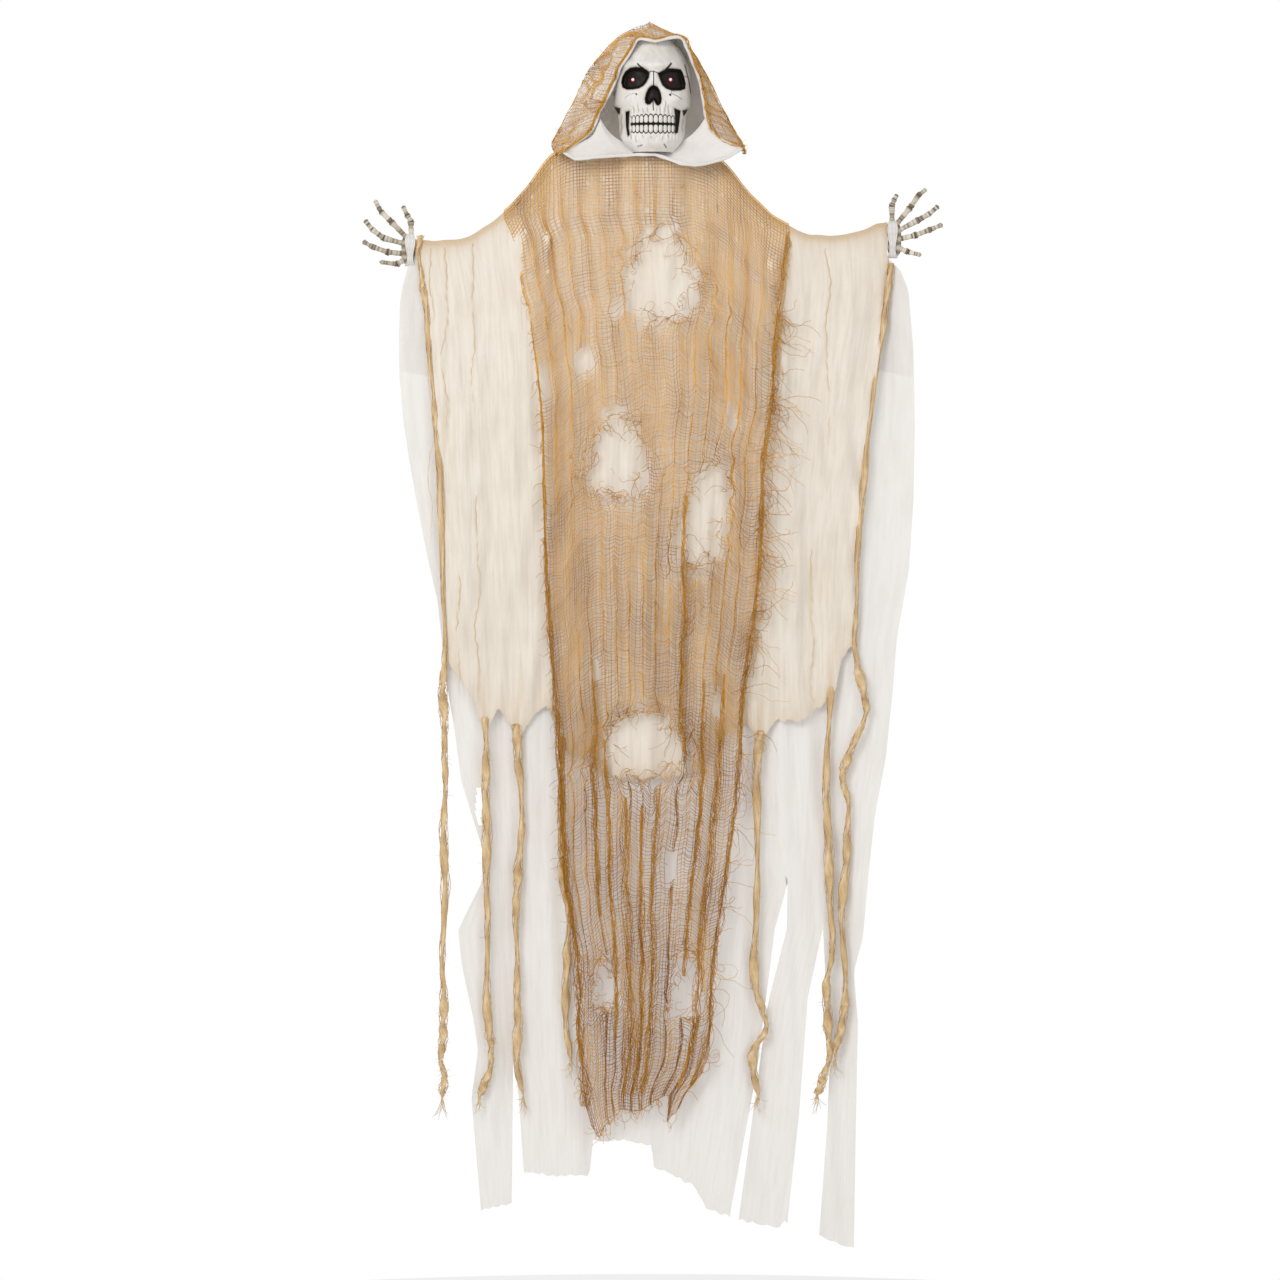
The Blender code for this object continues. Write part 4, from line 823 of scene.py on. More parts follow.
@dataclass
class Drape:
    """How every cloth hangs: over the arm wire, spreading and folding below it."""

    seam_y: float = -14.0
    arm_left: float = -352.0
    arm_right: float = 353.0
    stations: int = 24
    spread_depth: float = 250.0
    fold_size: float = 4.0
    fold_period: float = 118.0
    neck_bulge: float = 16.0
    roll_angles: tuple[float, ...] = (0.0, 18.0, 36.0, 54.0)
    wire: Line = (
        (-365, -320), (-352, -320), (-337, -325), (-312, -331), (-280, -316), (-263, -314), (-240, -303),
        (-222, -283), (-198, -262), (-179, -240), (-161, -218), (-146, -196), (-120, -184), (-60, -180),
        (60, -180), (85, -188), (113, -216), (142, -250), (172, -282), (201, -301), (237, -314),
        (271, -320), (297, -315), (330, -302), (353, -294), (368, -294))

    def height(self, x: Array) -> Array:
        """Height of the arm wire: straight between the stations, then smoothed over 12 mm.

        Args:
            x: Sides of the points.

        Returns:
            Heights, in the shape of x.
        """
        places = np.linspace(self.arm_left, self.arm_right, self.stations + 1)
        knots = profile(self.wire, places)
        near = np.linspace(-12, 12, 7)
        weight = np.exp(-(near / 7) ** 2)
        spread = np.clip(np.asarray(x, float)[..., None] + near, self.arm_left, self.arm_right)
        bumps = 1.7 * (1 + ripples(x, 0 * x, 4, 46)) * step(np.abs(x), 350, 335) * step(np.abs(x), 70, 110)
        return (np.interp(spread, places, knots) * weight).sum(-1) / weight.sum() + np.maximum(bumps, 0)

    def fold(self, x: Array, z: Array, below: Array) -> Array:
        """Shared folds: two sines across the cloth, none at the wire and whole 160 mm below it.

        Args:
            x: Sides of the points.
            z: Heights of the points.
            below: Depth of each point below the wire.

        Returns:
            Extra depths, in the shape of x.
        """
        wave = self.fold_size * np.sin(2 * math.pi * (x + 0.05 * z) / self.fold_period)
        wave = wave + self.fold_size / 2 * np.sin(2 * math.pi * (x - 0.09 * z) / (self.fold_period * 1.7))
        return wave * step(below, 0, 160)

    def neck(self, x: Array, z: Array) -> Array:
        """How far the cloth stands out over the neck."""
        return self.neck_bulge * step(np.abs(x), 59, 31) * step(z, -330, -215)

    def lay(self, guides: dict[int, Line], lines: int, rows: int,
            hem: Array) -> tuple[Array, Array, Array]:
        """Flat grid of a sheet from the wire to its hem.

        Args:
            guides: Guide lines between the two edges, by line number.
            lines: Number of lines across.
            rows: Number of rows down.
            hem: Height of the hem at each line.

        Returns:
            Sides and heights of the grid points, and the height of the wire at each line.
        """
        top_x = np.linspace(self.arm_left, self.arm_right, lines)
        line_z = self.height(top_x)
        z = line_z - (line_z - hem) * np.linspace(0, 1, rows)[:, None]
        x = between(guides, lines, z)
        x[0] = top_x
        return x, z, line_z

    def edges(self, left: Line, right: Line, lines: int) -> dict[int, Line]:
        """The two side edges as guide lines, each from its end of the wire."""
        return {0: ((-300, self.arm_left), *left), lines - 1: ((-300, self.arm_right), *right)}

    def hang(self, x: Array, z: Array, line_z: Array, layer: Layer, face: Face,
             ripple: Array | float = 0.0) -> Array:
        """Carry a flat grid into place: rows rolled over the wire, then rows hanging down.

        The depth is radius + spread smooth(depth below the wire) + folds + neck + ripple, and the rolled
        rows lie on a circle of that radius about the wire.

        Args:
            x: Sides of the grid points, rows by lines.
            z: Heights of the grid points.
            line_z: Height of the wire at each line.
            layer: The cloth layer.
            face: Front or back.
            ripple: Extra depth of each grid point.

        Returns:
            Points of the rolled rows and the grid, rows by lines by three.
        """
        radius, spread = layer.value
        below = line_z[None, :] - z
        away = (radius + spread * step(below, 0, self.spread_depth) + self.fold(x, z, below)
                + self.neck(x, z) + ripple * step(below, 5, 110))
        body = np.stack([x, self.seam_y + face.value * away, z], -1)
        slope = np.gradient(line_z) / np.maximum(np.gradient(x[0]), 0.1)
        rise = np.sqrt(1 + np.clip(slope, -1.5, 1.5) ** 2)
        lift = self.neck(x[0], line_z)
        rolled = [np.stack([x[0], self.seam_y + face.value * (np.maximum(0.2, radius * math.sin(a)) + lift),
                            line_z + rise * radius * math.cos(a)], -1) for a in np.radians(self.roll_angles)]
        return np.concatenate([np.array(rolled), body], 0)


def between(guides: dict[int, Line], lines: int, z: Array) -> Array:
    """Side of each grid point, straight between guide lines given as rows of (height, side).

    Args:
        guides: Line number to its rows, from the top down.
        lines: Number of lines in the grid.
        z: Heights of the grid points.

    Returns:
        Sides, in the shape of z.
    """
    keys = sorted(guides)
    at = [side_of(guides[key], z) for key in keys]
    column = np.broadcast_to(np.arange(lines, dtype=float), z.shape)
    x = at[0].copy()
    for low, high, first, second in zip(keys, keys[1:], at, at[1:]):
        share = np.clip((column - low) / (high - low), 0, 1)
        x = np.where(column >= low, first + (second - first) * share, x)
    return x


@dataclass
class Gown:
    """The sheer white gown: a long torn front and a short back."""

    drape: Drape
    per_station: int = 6
    rows: int = 132
    back_rows: int = 34
    back_bottom: float = -517.0
    low_row: float = -1750.0
    nick: tuple[float, float, float, float] = (-256.0, -1161.0, 5.5, 29.0)
    left: Line = (
        (-336, -353), (-352, -362), (-371, -367), (-385, -371), (-408, -375), (-468, -377), (-520, -376),
        (-587, -370), (-647, -361), (-721, -348), (-796, -333), (-856, -319), (-976, -306), (-1039, -295),
        (-1126, -283), (-1175, -268), (-1227, -251), (-1276, -252), (-1319, -274), (-1349, -288),
        (-1398, -283), (-1481, -265), (-1528, -258), (-1598, -268), (-1767, -254))
    right: Line = (
        (-345, 353), (-360, 372), (-393, 385), (-483, 392), (-602, 394), (-706, 392), (-811, 385),
        (-915, 367), (-990, 361), (-1088, 351), (-1178, 334), (-1261, 325), (-1361, 316), (-1410, 303),
        (-1486, 309), (-1643, 306), (-1824, 303))
    slits: tuple = (
        (2, -1546, ((-1546, -206), (-1755, -208)), ((-1546, -206), (-1589, -198), (-1712, -190))),
        (17, -1278, ((-1278, 204), (-1346, 185), (-1560, 158), (-1771, 118)),
         ((-1278, 204), (-1346, 203), (-1457, 175), (-1780, 131))),
        (21, -1345, ((-1345, 257), (-1449, 234), (-1624, 221), (-1783, 204)),
         ((-1345, 257), (-1449, 262), (-1548, 267), (-1643, 263), (-1804, 251))))
    bottom: Line = (
        (-254, -1767), (-208, -1755), (-190, -1712), (-94, -1716), (-91, -1661), (-7, -1667), (-1, -1703),
        (60, -1728), (84, -1764), (118, -1773), (131, -1780), (195, -1794), (204, -1783), (251, -1804),
        (303, -1824))

    def pleats(self, x: Array, z: Array, seed: int) -> Array:
        """Soft pleats: sines across the cloth whose phase drifts down it.

        Args:
            x: Sides of the points.
            z: Heights of the points.
            seed: Seed of the random waves.

        Returns:
            Extra depths, in the shape of x.
        """
        drift = ripples(x, z, seed, 420)
        return (1.5 * np.sin(x / 9.5 + 2.2 * drift) + 1.1 * np.sin(x / 5.1 - 1.7 * drift + z / 210)
                + 0.8 * ripples(x, z * 0.25, seed + 1, 60))

    def front(self) -> Piece:
        """Front sheet: lines between the torn edges, with the cells of each slit left out below its top.

        Returns:
            The sheet.
        """
        per, drape = self.per_station, self.drape
        lines = drape.stations * per + 1
        top_x = np.linspace(drape.arm_left, drape.arm_right, lines)
        line_z = drape.height(top_x)
        guides = drape.edges(self.left, self.right, lines)
        for column, _, near, far in self.slits:
            for line, edge in ((column * per, near), (column * per + per, far)):
                guides[line] = ((line_z[line], top_x[line]), *edge)
        low = between(guides, lines, np.full((1, lines), self.low_row))[0]
        hem = profile(self.bottom, low) + 1.5 * ripples(low, 0 * low, 5, 14)
        x, z, line_z = drape.lay(guides, lines, self.rows, hem)
        mid_x, mid_z = (x[:-1, :-1] + x[1:, 1:]) / 2, (z[:-1, :-1] + z[1:, 1:]) / 2
        nick_x, nick_z, nick_wide, nick_tall = self.nick
        alive = ((mid_x - nick_x) / nick_wide) ** 2 + ((mid_z - nick_z) / nick_tall) ** 2 > 1
        for column, top, _, _ in self.slits:
            alive[:, column * per:column * per + per] &= mid_z[:, column * per:column * per + per] > top
        points = drape.hang(x, z, line_z, Layer.WHITE, Face.FRONT, self.pleats(x, z, 11))
        whole = np.concatenate([np.ones((len(drape.roll_angles), lines - 1), bool), alive], 0)
        made = sheet_piece("gown_front_cloth", points, whole, values={"tint": np.zeros(points.shape[:2])})
        stand_for("white_gown_front")
        return made

    def back(self) -> Piece:
        """Back sheet with a straight lower edge.

        Returns:
            The sheet.
        """
        drape, lines = self.drape, self.drape.stations * 4 + 1
        hem = self.back_bottom + 5 * np.sin(np.linspace(drape.arm_left, drape.arm_right, lines) / 21)
        guides = drape.edges(self.left, self.right, lines)
        x, z, line_z = drape.lay(guides, lines, self.back_rows, hem)
        points = drape.hang(x, z, line_z, Layer.WHITE, Face.BACK, self.pleats(x, z, 23))
        made = sheet_piece("gown_back_cloth", points, flip=True, values={"tint": np.zeros(points.shape[:2])})
        stand_for("white_gown_back")
        return made

    def build(self) -> None:
        """Make both sheets in white gauze."""
        WHITE_GAUZE.wear(self.front(), self.back())


@dataclass
class Robe:
    """The cream gauze robe, its rolled side edges and the twisted strands of its hem."""

    drape: Drape
    lines: int = 145
    rows: int = 84
    back_rows: int = 48
    back_bottom: float = -930.0
    strand_radius: float = 5.2
    strand_step: float = 5.5
    hem_strands: float = 340.0
    free_below: float = -960.0
    wound_yarns: int = 7
    wound_thread: float = 0.62
    hairs: int = 64
    wisps: int = 9
    left: Line = (
        (-320, -352), (-408, -337), (-527, -327), (-632, -321), (-796, -313), (-915, -310))
    right: Line = (
        (-320, 353), (-386, 355), (-438, 348), (-535, 334), (-587, 327), (-677, 316), (-766, 309),
        (-856, 306), (-915, 306))
    hem: Line = (
        (-312, -940), (-304, -946), (-290, -966), (-272, -992), (-258, -1026), (-247, -1062), (-239, -1036),
        (-228, -1018), (-212, -1038), (-201, -1062), (-190, -1050), (-172, -1026), (-156, -1012),
        (-143, -1040), (-131, -1080), (-115, -1085), (-90, -1100), (-55, -1122), (34, -1122), (80, -1100),
        (110, -1060), (137, -1039), (150, -1046), (163, -1072), (176, -1048), (190, -1034), (206, -1033),
        (222, -1040), (240, -1022), (258, -1010), (268, -1004), (276, -985), (283, -953), (295, -925),
        (306, -925))
    strands: tuple[Line, ...] = (
        ((-345, -311), (-348, -338), (-343, -373), (-338, -408), (-327, -527), (-318, -632), (-311, -796),
         (-308, -915), (-310, -1000), (-307, -1100), (-309, -1200), (-308, -1300), (-311, -1400),
         (-309, -1480), (-313, -1540), (-308, -1570), (-312, -1600)),
        ((-247, -1030), (-246, -1120), (-245, -1250), (-244, -1380), (-243, -1489), (-238, -1522),
         (-242, -1560), (-257, -1597)),
        ((-201, -1040), (-197, -1100), (-193, -1184), (-197, -1250), (-201, -1303), (-200, -1400),
         (-199, -1480), (-200, -1540), (-191, -1597)),
        ((-132, -1060), (-133, -1160), (-131, -1270), (-122, -1334), (-126, -1400), (-127, -1475),
         (-120, -1543)),
        ((163, -1050), (158, -1115), (158, -1243), (157, -1339), (154, -1425), (168, -1470), (170, -1500),
         (152, -1528), (154, -1560), (160, -1597)),
        ((269, -985), (262, -1097), (265, -1243), (270, -1376), (261, -1434), (264, -1491), (266, -1533),
         (256, -1570), (248, -1594)),
        ((358, -352), (350, -425), (336, -515), (322, -632), (311, -740), (306, -856), (305, -940),
         (319, -1000), (318, -1030), (299, -1078), (286, -1115), (294, -1164), (291, -1243), (285, -1319),
         (289, -1410), (288, -1472), (277, -1518), (274, -1540)))

    thick_yarns: Line = (
        (-330, -262, -780), (-308, -268, -640), (-268, -262, -560), (-261, -700, -1010),
        (-288, -820, -1000), (262, -330, -640), (240, -780, -1030))

    def pleats(self, x: Array, z: Array, seed: int) -> Array:
        """Fine crinkles across the gauze over wider pleats.

        Args:
            x: Sides of the points.
            z: Heights of the points.
            seed: Seed of the random waves.

        Returns:
            Extra depths, in the shape of x.
        """
        drift = ripples(x, z, seed, 500)
        return (1.9 * np.sin(x / 7.6 + 2.6 * drift) + 1.0 * np.sin(x / 3.9 + 2 * drift + z / 95)
                + 1.3 * ripples(x, z * 0.16, seed + 1, 26) + 1.0 * ripples(x, z * 0.7, seed + 2, 50))

    def sheet(self, name: str, node: str, face: Face, rows: int, hem: Array,
              seed: int) -> Piece:
        """One sheet of the robe, from the wire down to its hem.

        Args:
            name: Name of the piece.
            node: Node that it stands for.
            face: Front or back.
            rows: Rows below the wire.
            hem: Height of the hem at each line.
            seed: Seed of the random waves.

        Returns:
            The sheet.
        """
        drape = self.drape
        x, z, line_z = drape.lay(drape.edges(self.left, self.right, self.lines), self.lines, rows, hem)
        points = drape.hang(x, z, line_z, Layer.CREAM, face, self.pleats(x, z, seed))
        below = line_z - points[..., 2]
        near_hem = points[..., 2] - hem
        tint = 0.75 * np.exp(-np.maximum(below, 0) / 9) + 0.35 * np.exp(-np.maximum(near_hem, 0) / 22)
        edge = np.minimum(np.abs(points[..., 0] - x[:, :1].min()), np.abs(points[..., 0] - x[:, -1:].max()))
        tint = tint + 0.45 * np.exp(-edge / 10)
        for (side, top), *_ in self.strands:
            if abs(side) < self.hem_strands:
                over = np.maximum(points[..., 2] - top, 0)
                off = np.abs(points[..., 0] - side - 0.12 * over * np.sin(over / 31 + side))
                tint = tint + 0.55 * (np.exp(-(off / (3.0 + 0.10 * over)) ** 2) * np.exp(-over / 55))
        tint = np.clip(tint, 0, 0.9)
        made = sheet_piece(name, points, flip=face is Face.BACK, values={"tint": tint})
        stand_for(node)
        return made

    def strand(self, name: str, line: Line, seed: int) -> None:
        """One twisted strand: a flattened tube whose width swells and turns along its length.

        Args:
            name: Start of the names of its pieces.
            line: Its course in the front view.
            seed: Seed of its swells and hairs.
        """
        draw = np.random.default_rng(seed)
        length = float(np.linalg.norm(np.diff(np.asarray(line, float), axis=0), axis=1).sum())
        count = int(length / self.strand_step)
        share = np.linspace(0, 1, count)
        path = through(line, share)
        along = share * length
        y = self.depth(path[:, 0], path[:, 1])
        turn = along / 17.0 + 1.3 * np.sin(along / 61 + seed)
        swell = 1 + 0.30 * np.sin(along / 33 + seed) + 0.16 * np.sin(along / 11.7 + 2 * seed)
        rolled = abs(line[0][0]) > self.hem_strands
        loose = np.ones(count) if rolled else 1 + 0.45 * np.exp(-along / 30) - 0.9 * np.exp(-along / 6)
        radius = self.strand_radius * swell * loose * (0.12 + 0.88 * step(share, 1.0, 0.955))
        radius = radius * (np.where(path[:, 1] > self.free_below, 0.72, 1.0) if rolled else 1.0)
        points = np.stack([path[:, 0] + 0.8 * np.sin(turn), y + 0.6 * np.cos(turn), path[:, 1]], -1)[None]
        # Painted shade in the recesses of the twist, plus random tone.
        shade = 0.28 + 0.3 * np.sin(turn * 2) * np.cos(along / 23) + 0.1 * draw.normal(size=count)
        made = tubes(f"{name}_twist", points, radius[None], 9, values={"shade": shade[None]}, flat=0.5,
                     twist=turn[None])
        TAN_GAUZE.wear(made, self.wrap(f"{name}_fibres", points[0], radius, turn, seed),
                       self.fuzz(f"{name}_fuzz", points[0], radius, seed))

    def depth(self, x: Array, z: Array) -> Array:
        """Depth at which a strand hangs: that of the cream layer, with the same folds.

        Args:
            x: Sides of the points.
            z: Heights of the points.

        Returns:
            The y of each point.
        """
        radius, spread = Layer.CREAM.value
        line_z = self.drape.height(x)
        below = line_z - z
        return self.drape.seam_y - (radius + spread * step(below, 0, self.drape.spread_depth)
                                    + self.drape.fold(x, z, below)) - 1.5

    def wrap(self, name: str, centre: Array, radius: Array, turn: Array,
             seed: int) -> Piece:
        """Thin yarns wound round a strand: each is the centre plus the ring radius at its own phase.

        Args:
            name: Name of the piece.
            centre: Centre points of the strand.
            radius: Radius at each of them.
            turn: Turn of the strand at each of them.
            seed: Shift of the wobble.

        Returns:
            The yarns.
        """
        count = self.wound_yarns
        phase = (np.arange(count) * 2 * math.pi / count)[:, None] + turn[None] * 0.9
        wobble = 1 + 0.12 * np.sin(turn[None] * 2.3 + 5 * np.arange(count)[:, None] + seed)
        x = centre[None, :, 0] + radius[None] * wobble * np.cos(phase)
        y = centre[None, :, 1] + 0.6 * radius[None] * wobble * np.sin(phase)
        paths = np.stack([x, y, np.broadcast_to(centre[None, :, 2], x.shape)], -1)
        # Painted shade: each yarn is darker where it passes behind the strand.
        return tubes(name, paths, self.wound_thread, 3, values={"shade": 0.3 + 0.25 * np.sin(phase)})

    def fuzz(self, name: str, centre: Array, radius: Array, seed: int) -> Piece:
        """Short frayed hairs standing out of a strand, and longer wisps at its lower end.

        Args:
            name: Name of the piece.
            centre: Centre points of the strand.
            radius: Radius at each of them.
            seed: Seed of the hairs.

        Returns:
            The hairs.
        """
        draw = np.random.default_rng(seed + 40)
        hairs, wisps = self.hairs, self.wisps
        pick = draw.choice(np.nonzero(centre[:, 2] < self.free_below)[0], hairs)
        index = np.concatenate([pick, np.full(wisps, len(centre) - 2)])
        side = draw.choice([-1.0, 1.0], len(index))
        heading = np.stack([side, -draw.uniform(0, 0.5, len(index)), draw.uniform(-1.0, 0.6, len(index))], -1)
        down = [draw.uniform(-0.4, 0.4, wisps), -0.1 * np.ones(wisps), -np.ones(wisps)]
        heading[-wisps:] = np.stack(down, -1)
        start = centre[index] + np.stack([side * radius[index] * 0.6, 0 * side, 0 * side], -1)
        length = np.concatenate([draw.uniform(4, 13, hairs), draw.uniform(12, 34, wisps)])
        paths = curl(start, unit(heading), length, seed, 5, 0.3, 0.3)
        size = np.concatenate([np.full(hairs, 0.24), np.full(wisps, 0.7)])
        thick = size[:, None] * np.array([1, 0.9, 0.8, 0.6, 0.3])
        return tubes(name, paths, thick, 3, values={"shade": np.full(paths.shape[:2], 0.25)})

    def yarns(self) -> None:
        """The robe's thick tan yarns, which show through the gauze down both sleeves."""
        share = np.linspace(0, 1, 60)[None]
        side, top, low = (np.asarray(axis, float)[:, None] for axis in zip(*self.thick_yarns))
        top = np.minimum(top, self.drape.height(side) - 7)
        z = top + (low - top) * share
        x = side + 3.0 * ripples(side + 0 * z, z, 61, 120) + 0.8 * ripples(side + 0 * z, z, 62, 17)
        paths = np.stack([x, self.depth(x, z) - 0.5, z], -1)
        radius = 0.6 * np.interp(share, (0, 0.1, 0.8, 1), (0.6, 1, 0.9, 0.2)) * (
            1 + 0.35 * ripples(side * 9 + 0 * z, z, 63, 14))
        shade = -0.35 + 0.15 * ripples(side * 9 + 0 * z, z, 64, 30)
        TAN_GAUZE.wear(tubes("robe_yarns", paths, radius, 4, values={"shade": shade}, flat=0.6))

    def build(self) -> None:
        """Make the front, the back, the strands and the yarns."""
        top_x = np.linspace(self.drape.arm_left, self.drape.arm_right, self.lines)
        low_x = np.linspace(self.left[-1][1], self.right[-1][1], self.lines)
        hem = profile(self.hem, low_x) + 2.2 * ripples(low_x, 0 * low_x, 8, 11)
        back_hem = self.back_bottom + 6 * np.sin(top_x / 21)
        CREAM_GAUZE.wear(
            self.sheet("robe_front_cloth", "cream_robe_front", Face.FRONT, self.rows, hem, 31),
            self.sheet("robe_back_cloth", "cream_robe_back", Face.BACK, self.back_rows, back_hem, 37))
        for number, line in enumerate(self.strands):
            self.strand(f"strand_{number + 1}", line, 3 * number + 1)
        self.yarns()


def wind(line: Array, strands: int, size: Array, seed: int) -> Array:
    """Threads wound into a rope: centre plus size times a circle whose phase grows along the rope.

    Args:
        line: Centre points.
        strands: Number of threads.
        size: Half width of the rope at each point.
        seed: Seed of the threads' own wander.

    Returns:
        Threads by points by three.
    """
    draw = np.random.default_rng(seed)
    along = np.concatenate([[0], np.cumsum(np.linalg.norm(np.diff(line, axis=0), axis=1))])[None]
    phase = draw.uniform(0, 2 * math.pi, (strands, 1)) + along / draw.uniform(-60, 60, (strands, 1))
    phase = phase + 0.8 * np.sin(along / draw.uniform(8, 26, (strands, 1)) + 3 * phase[:, :1])
    reach = size[None] * (0.30 + 0.75 * draw.uniform(0, 1, (strands, 1))
                          + 0.40 * np.sin(along / draw.uniform(7, 24, (strands, 1)) + phase[:, :1]))
    paths = np.repeat(line[None], strands, 0)
    paths[..., 0] += reach * np.cos(phase)
    paths[..., 1] += 0.55 * reach * np.sin(phase)
    return paths


@dataclass(frozen=True)
class Gather:
    """A place where the net's threads bunch into a rope: its share across, strength, width and top."""

    share: float
    strength: float
    width: float
    top: float
    fade: float


@dataclass
class Net:
    """The brown net down the front: warps and wefts of thread with holes, ropes and loose ends."""

    drape: Drape
    warps: int = 88
    pitch: float = 5.0
    thread: float = 0.48
    depth: float = 1.4
    rope_thread: float = 0.42
    loose_thread: float = 0.50
    pleats: float = 15.0
    weft_rows: int = 3
    band_ends: tuple[float, float] = (0.34, 0.67)
    missing_wefts: float = 0.012
    left_rope: Line = ((-420, 0.4), (-700, 1.8), (-900, 4.2), (-1300, 6.5), (-1600, 7.5), (-1640, 3))
    right_rope: Line = (
        (-285, 1.0), (-320, 7.0), (-430, 7.5), (-520, 3.2), (-800, 2.6), (-950, 4.5), (-1500, 6.5),
        (-1600, 4.0))
    inner_rope: Line = ((0, 0.3), (60, 3.0), (200, 6.4), (420, 5.6), (560, 1.8))
    right_frays: int = 300
    left_frays: int = 200
    hem_frays: int = 60
    body_frays: int = 150
    left: Line = (
        (-285, -220), (-313, -206), (-354, -201), (-392, -195), (-417, -184), (-466, -179), (-504, -172),
        (-557, -166), (-662, -161), (-856, -154), (-945, -146), (-1049, -137), (-1154, -136), (-1251, -133),
        (-1327, -121), (-1378, -109), (-1467, -107), (-1576, -104), (-1619, -92), (-1659, -84))
    right: Line = (
        (-300, 208), (-328, 204), (-347, 201), (-404, 198), (-441, 191), (-466, 186), (-557, 185),
        (-632, 170), (-736, 166), (-796, 160), (-856, 157), (-915, 148), (-967, 140), (-1054, 134),
        (-1152, 128), (-1233, 118), (-1322, 103), (-1413, 92), (-1522, 85), (-1554, 78), (-1591, 50),
        (-1637, 36))
    bottom: Line = (
        (-92, -1625), (-84, -1656), (-70, -1640), (-45, -1613), (-13, -1616), (3, -1604), (24, -1590),
        (36, -1634), (50, -1600))
    gathers: tuple[Gather, ...] = (
        Gather(0.0, 0.75, 0.03, -420, 300), Gather(0.205, 0.9, 0.036, -880, 260),
        Gather(0.285, 0.84, 0.026, -1000, 160), Gather(0.375, 0.88, 0.032, -1080, 180),
        Gather(0.465, 0.92, 0.04, -1090, 180), Gather(0.555, 0.88, 0.032, -1080, 160),
        Gather(0.665, 0.9, 0.038, -640, 420), Gather(0.785, 0.88, 0.036, -900, 240),
        Gather(0.885, 0.84, 0.028, -900, 220), Gather(1.0, 0.8, 0.038, -320, 160))
    holes: Line = (
        (15, -372, 42, 64, 0.0), (-48, -640, 33, 62, 0.0), (80, -728, 27, 80, -0.22),
        (-10, -1070, 45, 52, 0.0), (-69, -1428, 13, 41, 0.0), (54, -1428, 17, 52, 0.0),
        (-100, -497, 11, 18, 0.0), (-160, -530, 6, 26, 0.0), (120, -585, 5, 14, 0.0),
        (100, -1010, 5, 20, 0.0), (-84, -960, 5, 16, 0.0), (30, -1250, 5, 24, 0.0))

    def spacing(self, share: Array, z: Array) -> tuple[Array, Array, Array]:
        """Places of the threads across the net.

        Near a gather at c the place moves towards it by a (u - c) exp(-((u - c) / w)^2), and between
        gathers the threads bunch into narrow pleats by b sin(2 pi f u) / (2 pi f).

        Args:
            share: Even share of each thread, rows by lines.
            z: Height of each grid point.

        Returns:
            The place across from 0 to 1, how bunched the net is there, and the phase of the pleats.
        """
        bunch = 0 * share
        place = share.copy()
        for g in self.gathers:
            grow = g.strength * step(z, g.top, g.top - g.fade)
            off = share - g.share - 0.004 * np.sin(z / 120 + 40 * g.share)
            bell = np.exp(-(off / g.width) ** 2)
            place = place - grow * off * bell
            bunch = np.maximum(bunch, grow * bell)
        size = 0.66 + 0.42 * ripples(share * 400, z * 0.22, 77, 130) + 0.22 * step(z, -900, -1250)
        size = np.clip(size, 0.1, 0.94)
        phase = 2 * math.pi * self.pleats * share + 0.9 * ripples(0 * share, z, 78, 700) + 2.5 * share ** 2
        place = place - size * np.sin(phase) / (2 * math.pi * self.pleats)
        pleat = size * np.clip(np.cos(phase), 0, 1) ** 2
        return place, np.maximum(bunch, 0.45 * pleat), phase

    def hole_field(self, x: Array, z: Array) -> tuple[Array, Array, Array]:
        """Push points out of the holes and mark those that are torn away.

        A point moves outwards along x by up to 0.22 of the hole's half width, less the further it is
        from the hole and the nearer it is to the hole's upper or lower end.

        Args:
            x: Sides of the grid points.
            z: Heights of the grid points.

        Returns:
            New sides, true where the net is torn away, and how close each point is to a rim.
        """
        torn = np.zeros(x.shape, bool)
        rim = 0 * x
        ragged = 1 + 0.16 * ripples(x, z, 91, 24) + 0.06 * ripples(x, z, 92, 9)
        for cx, cz, hx, hz, lean in self.holes:
            across = (x - cx + lean * (z - cz)) / hx
            up = (z - cz) / hz
            narrow = 1.06 + 0.42 * up
            far = np.hypot(across * narrow, up) * ragged
            torn |= far < 1
            push = 0.22 * hx * step(far, 1.9, 1.0) * np.sign(across) * step(np.abs(up), 1.6, 0.7)
            x = x + np.where(np.abs(across) > 0.02, push, 0)
            rim = np.maximum(rim, step(far, 1.35, 1.02))
        return x, torn, rim

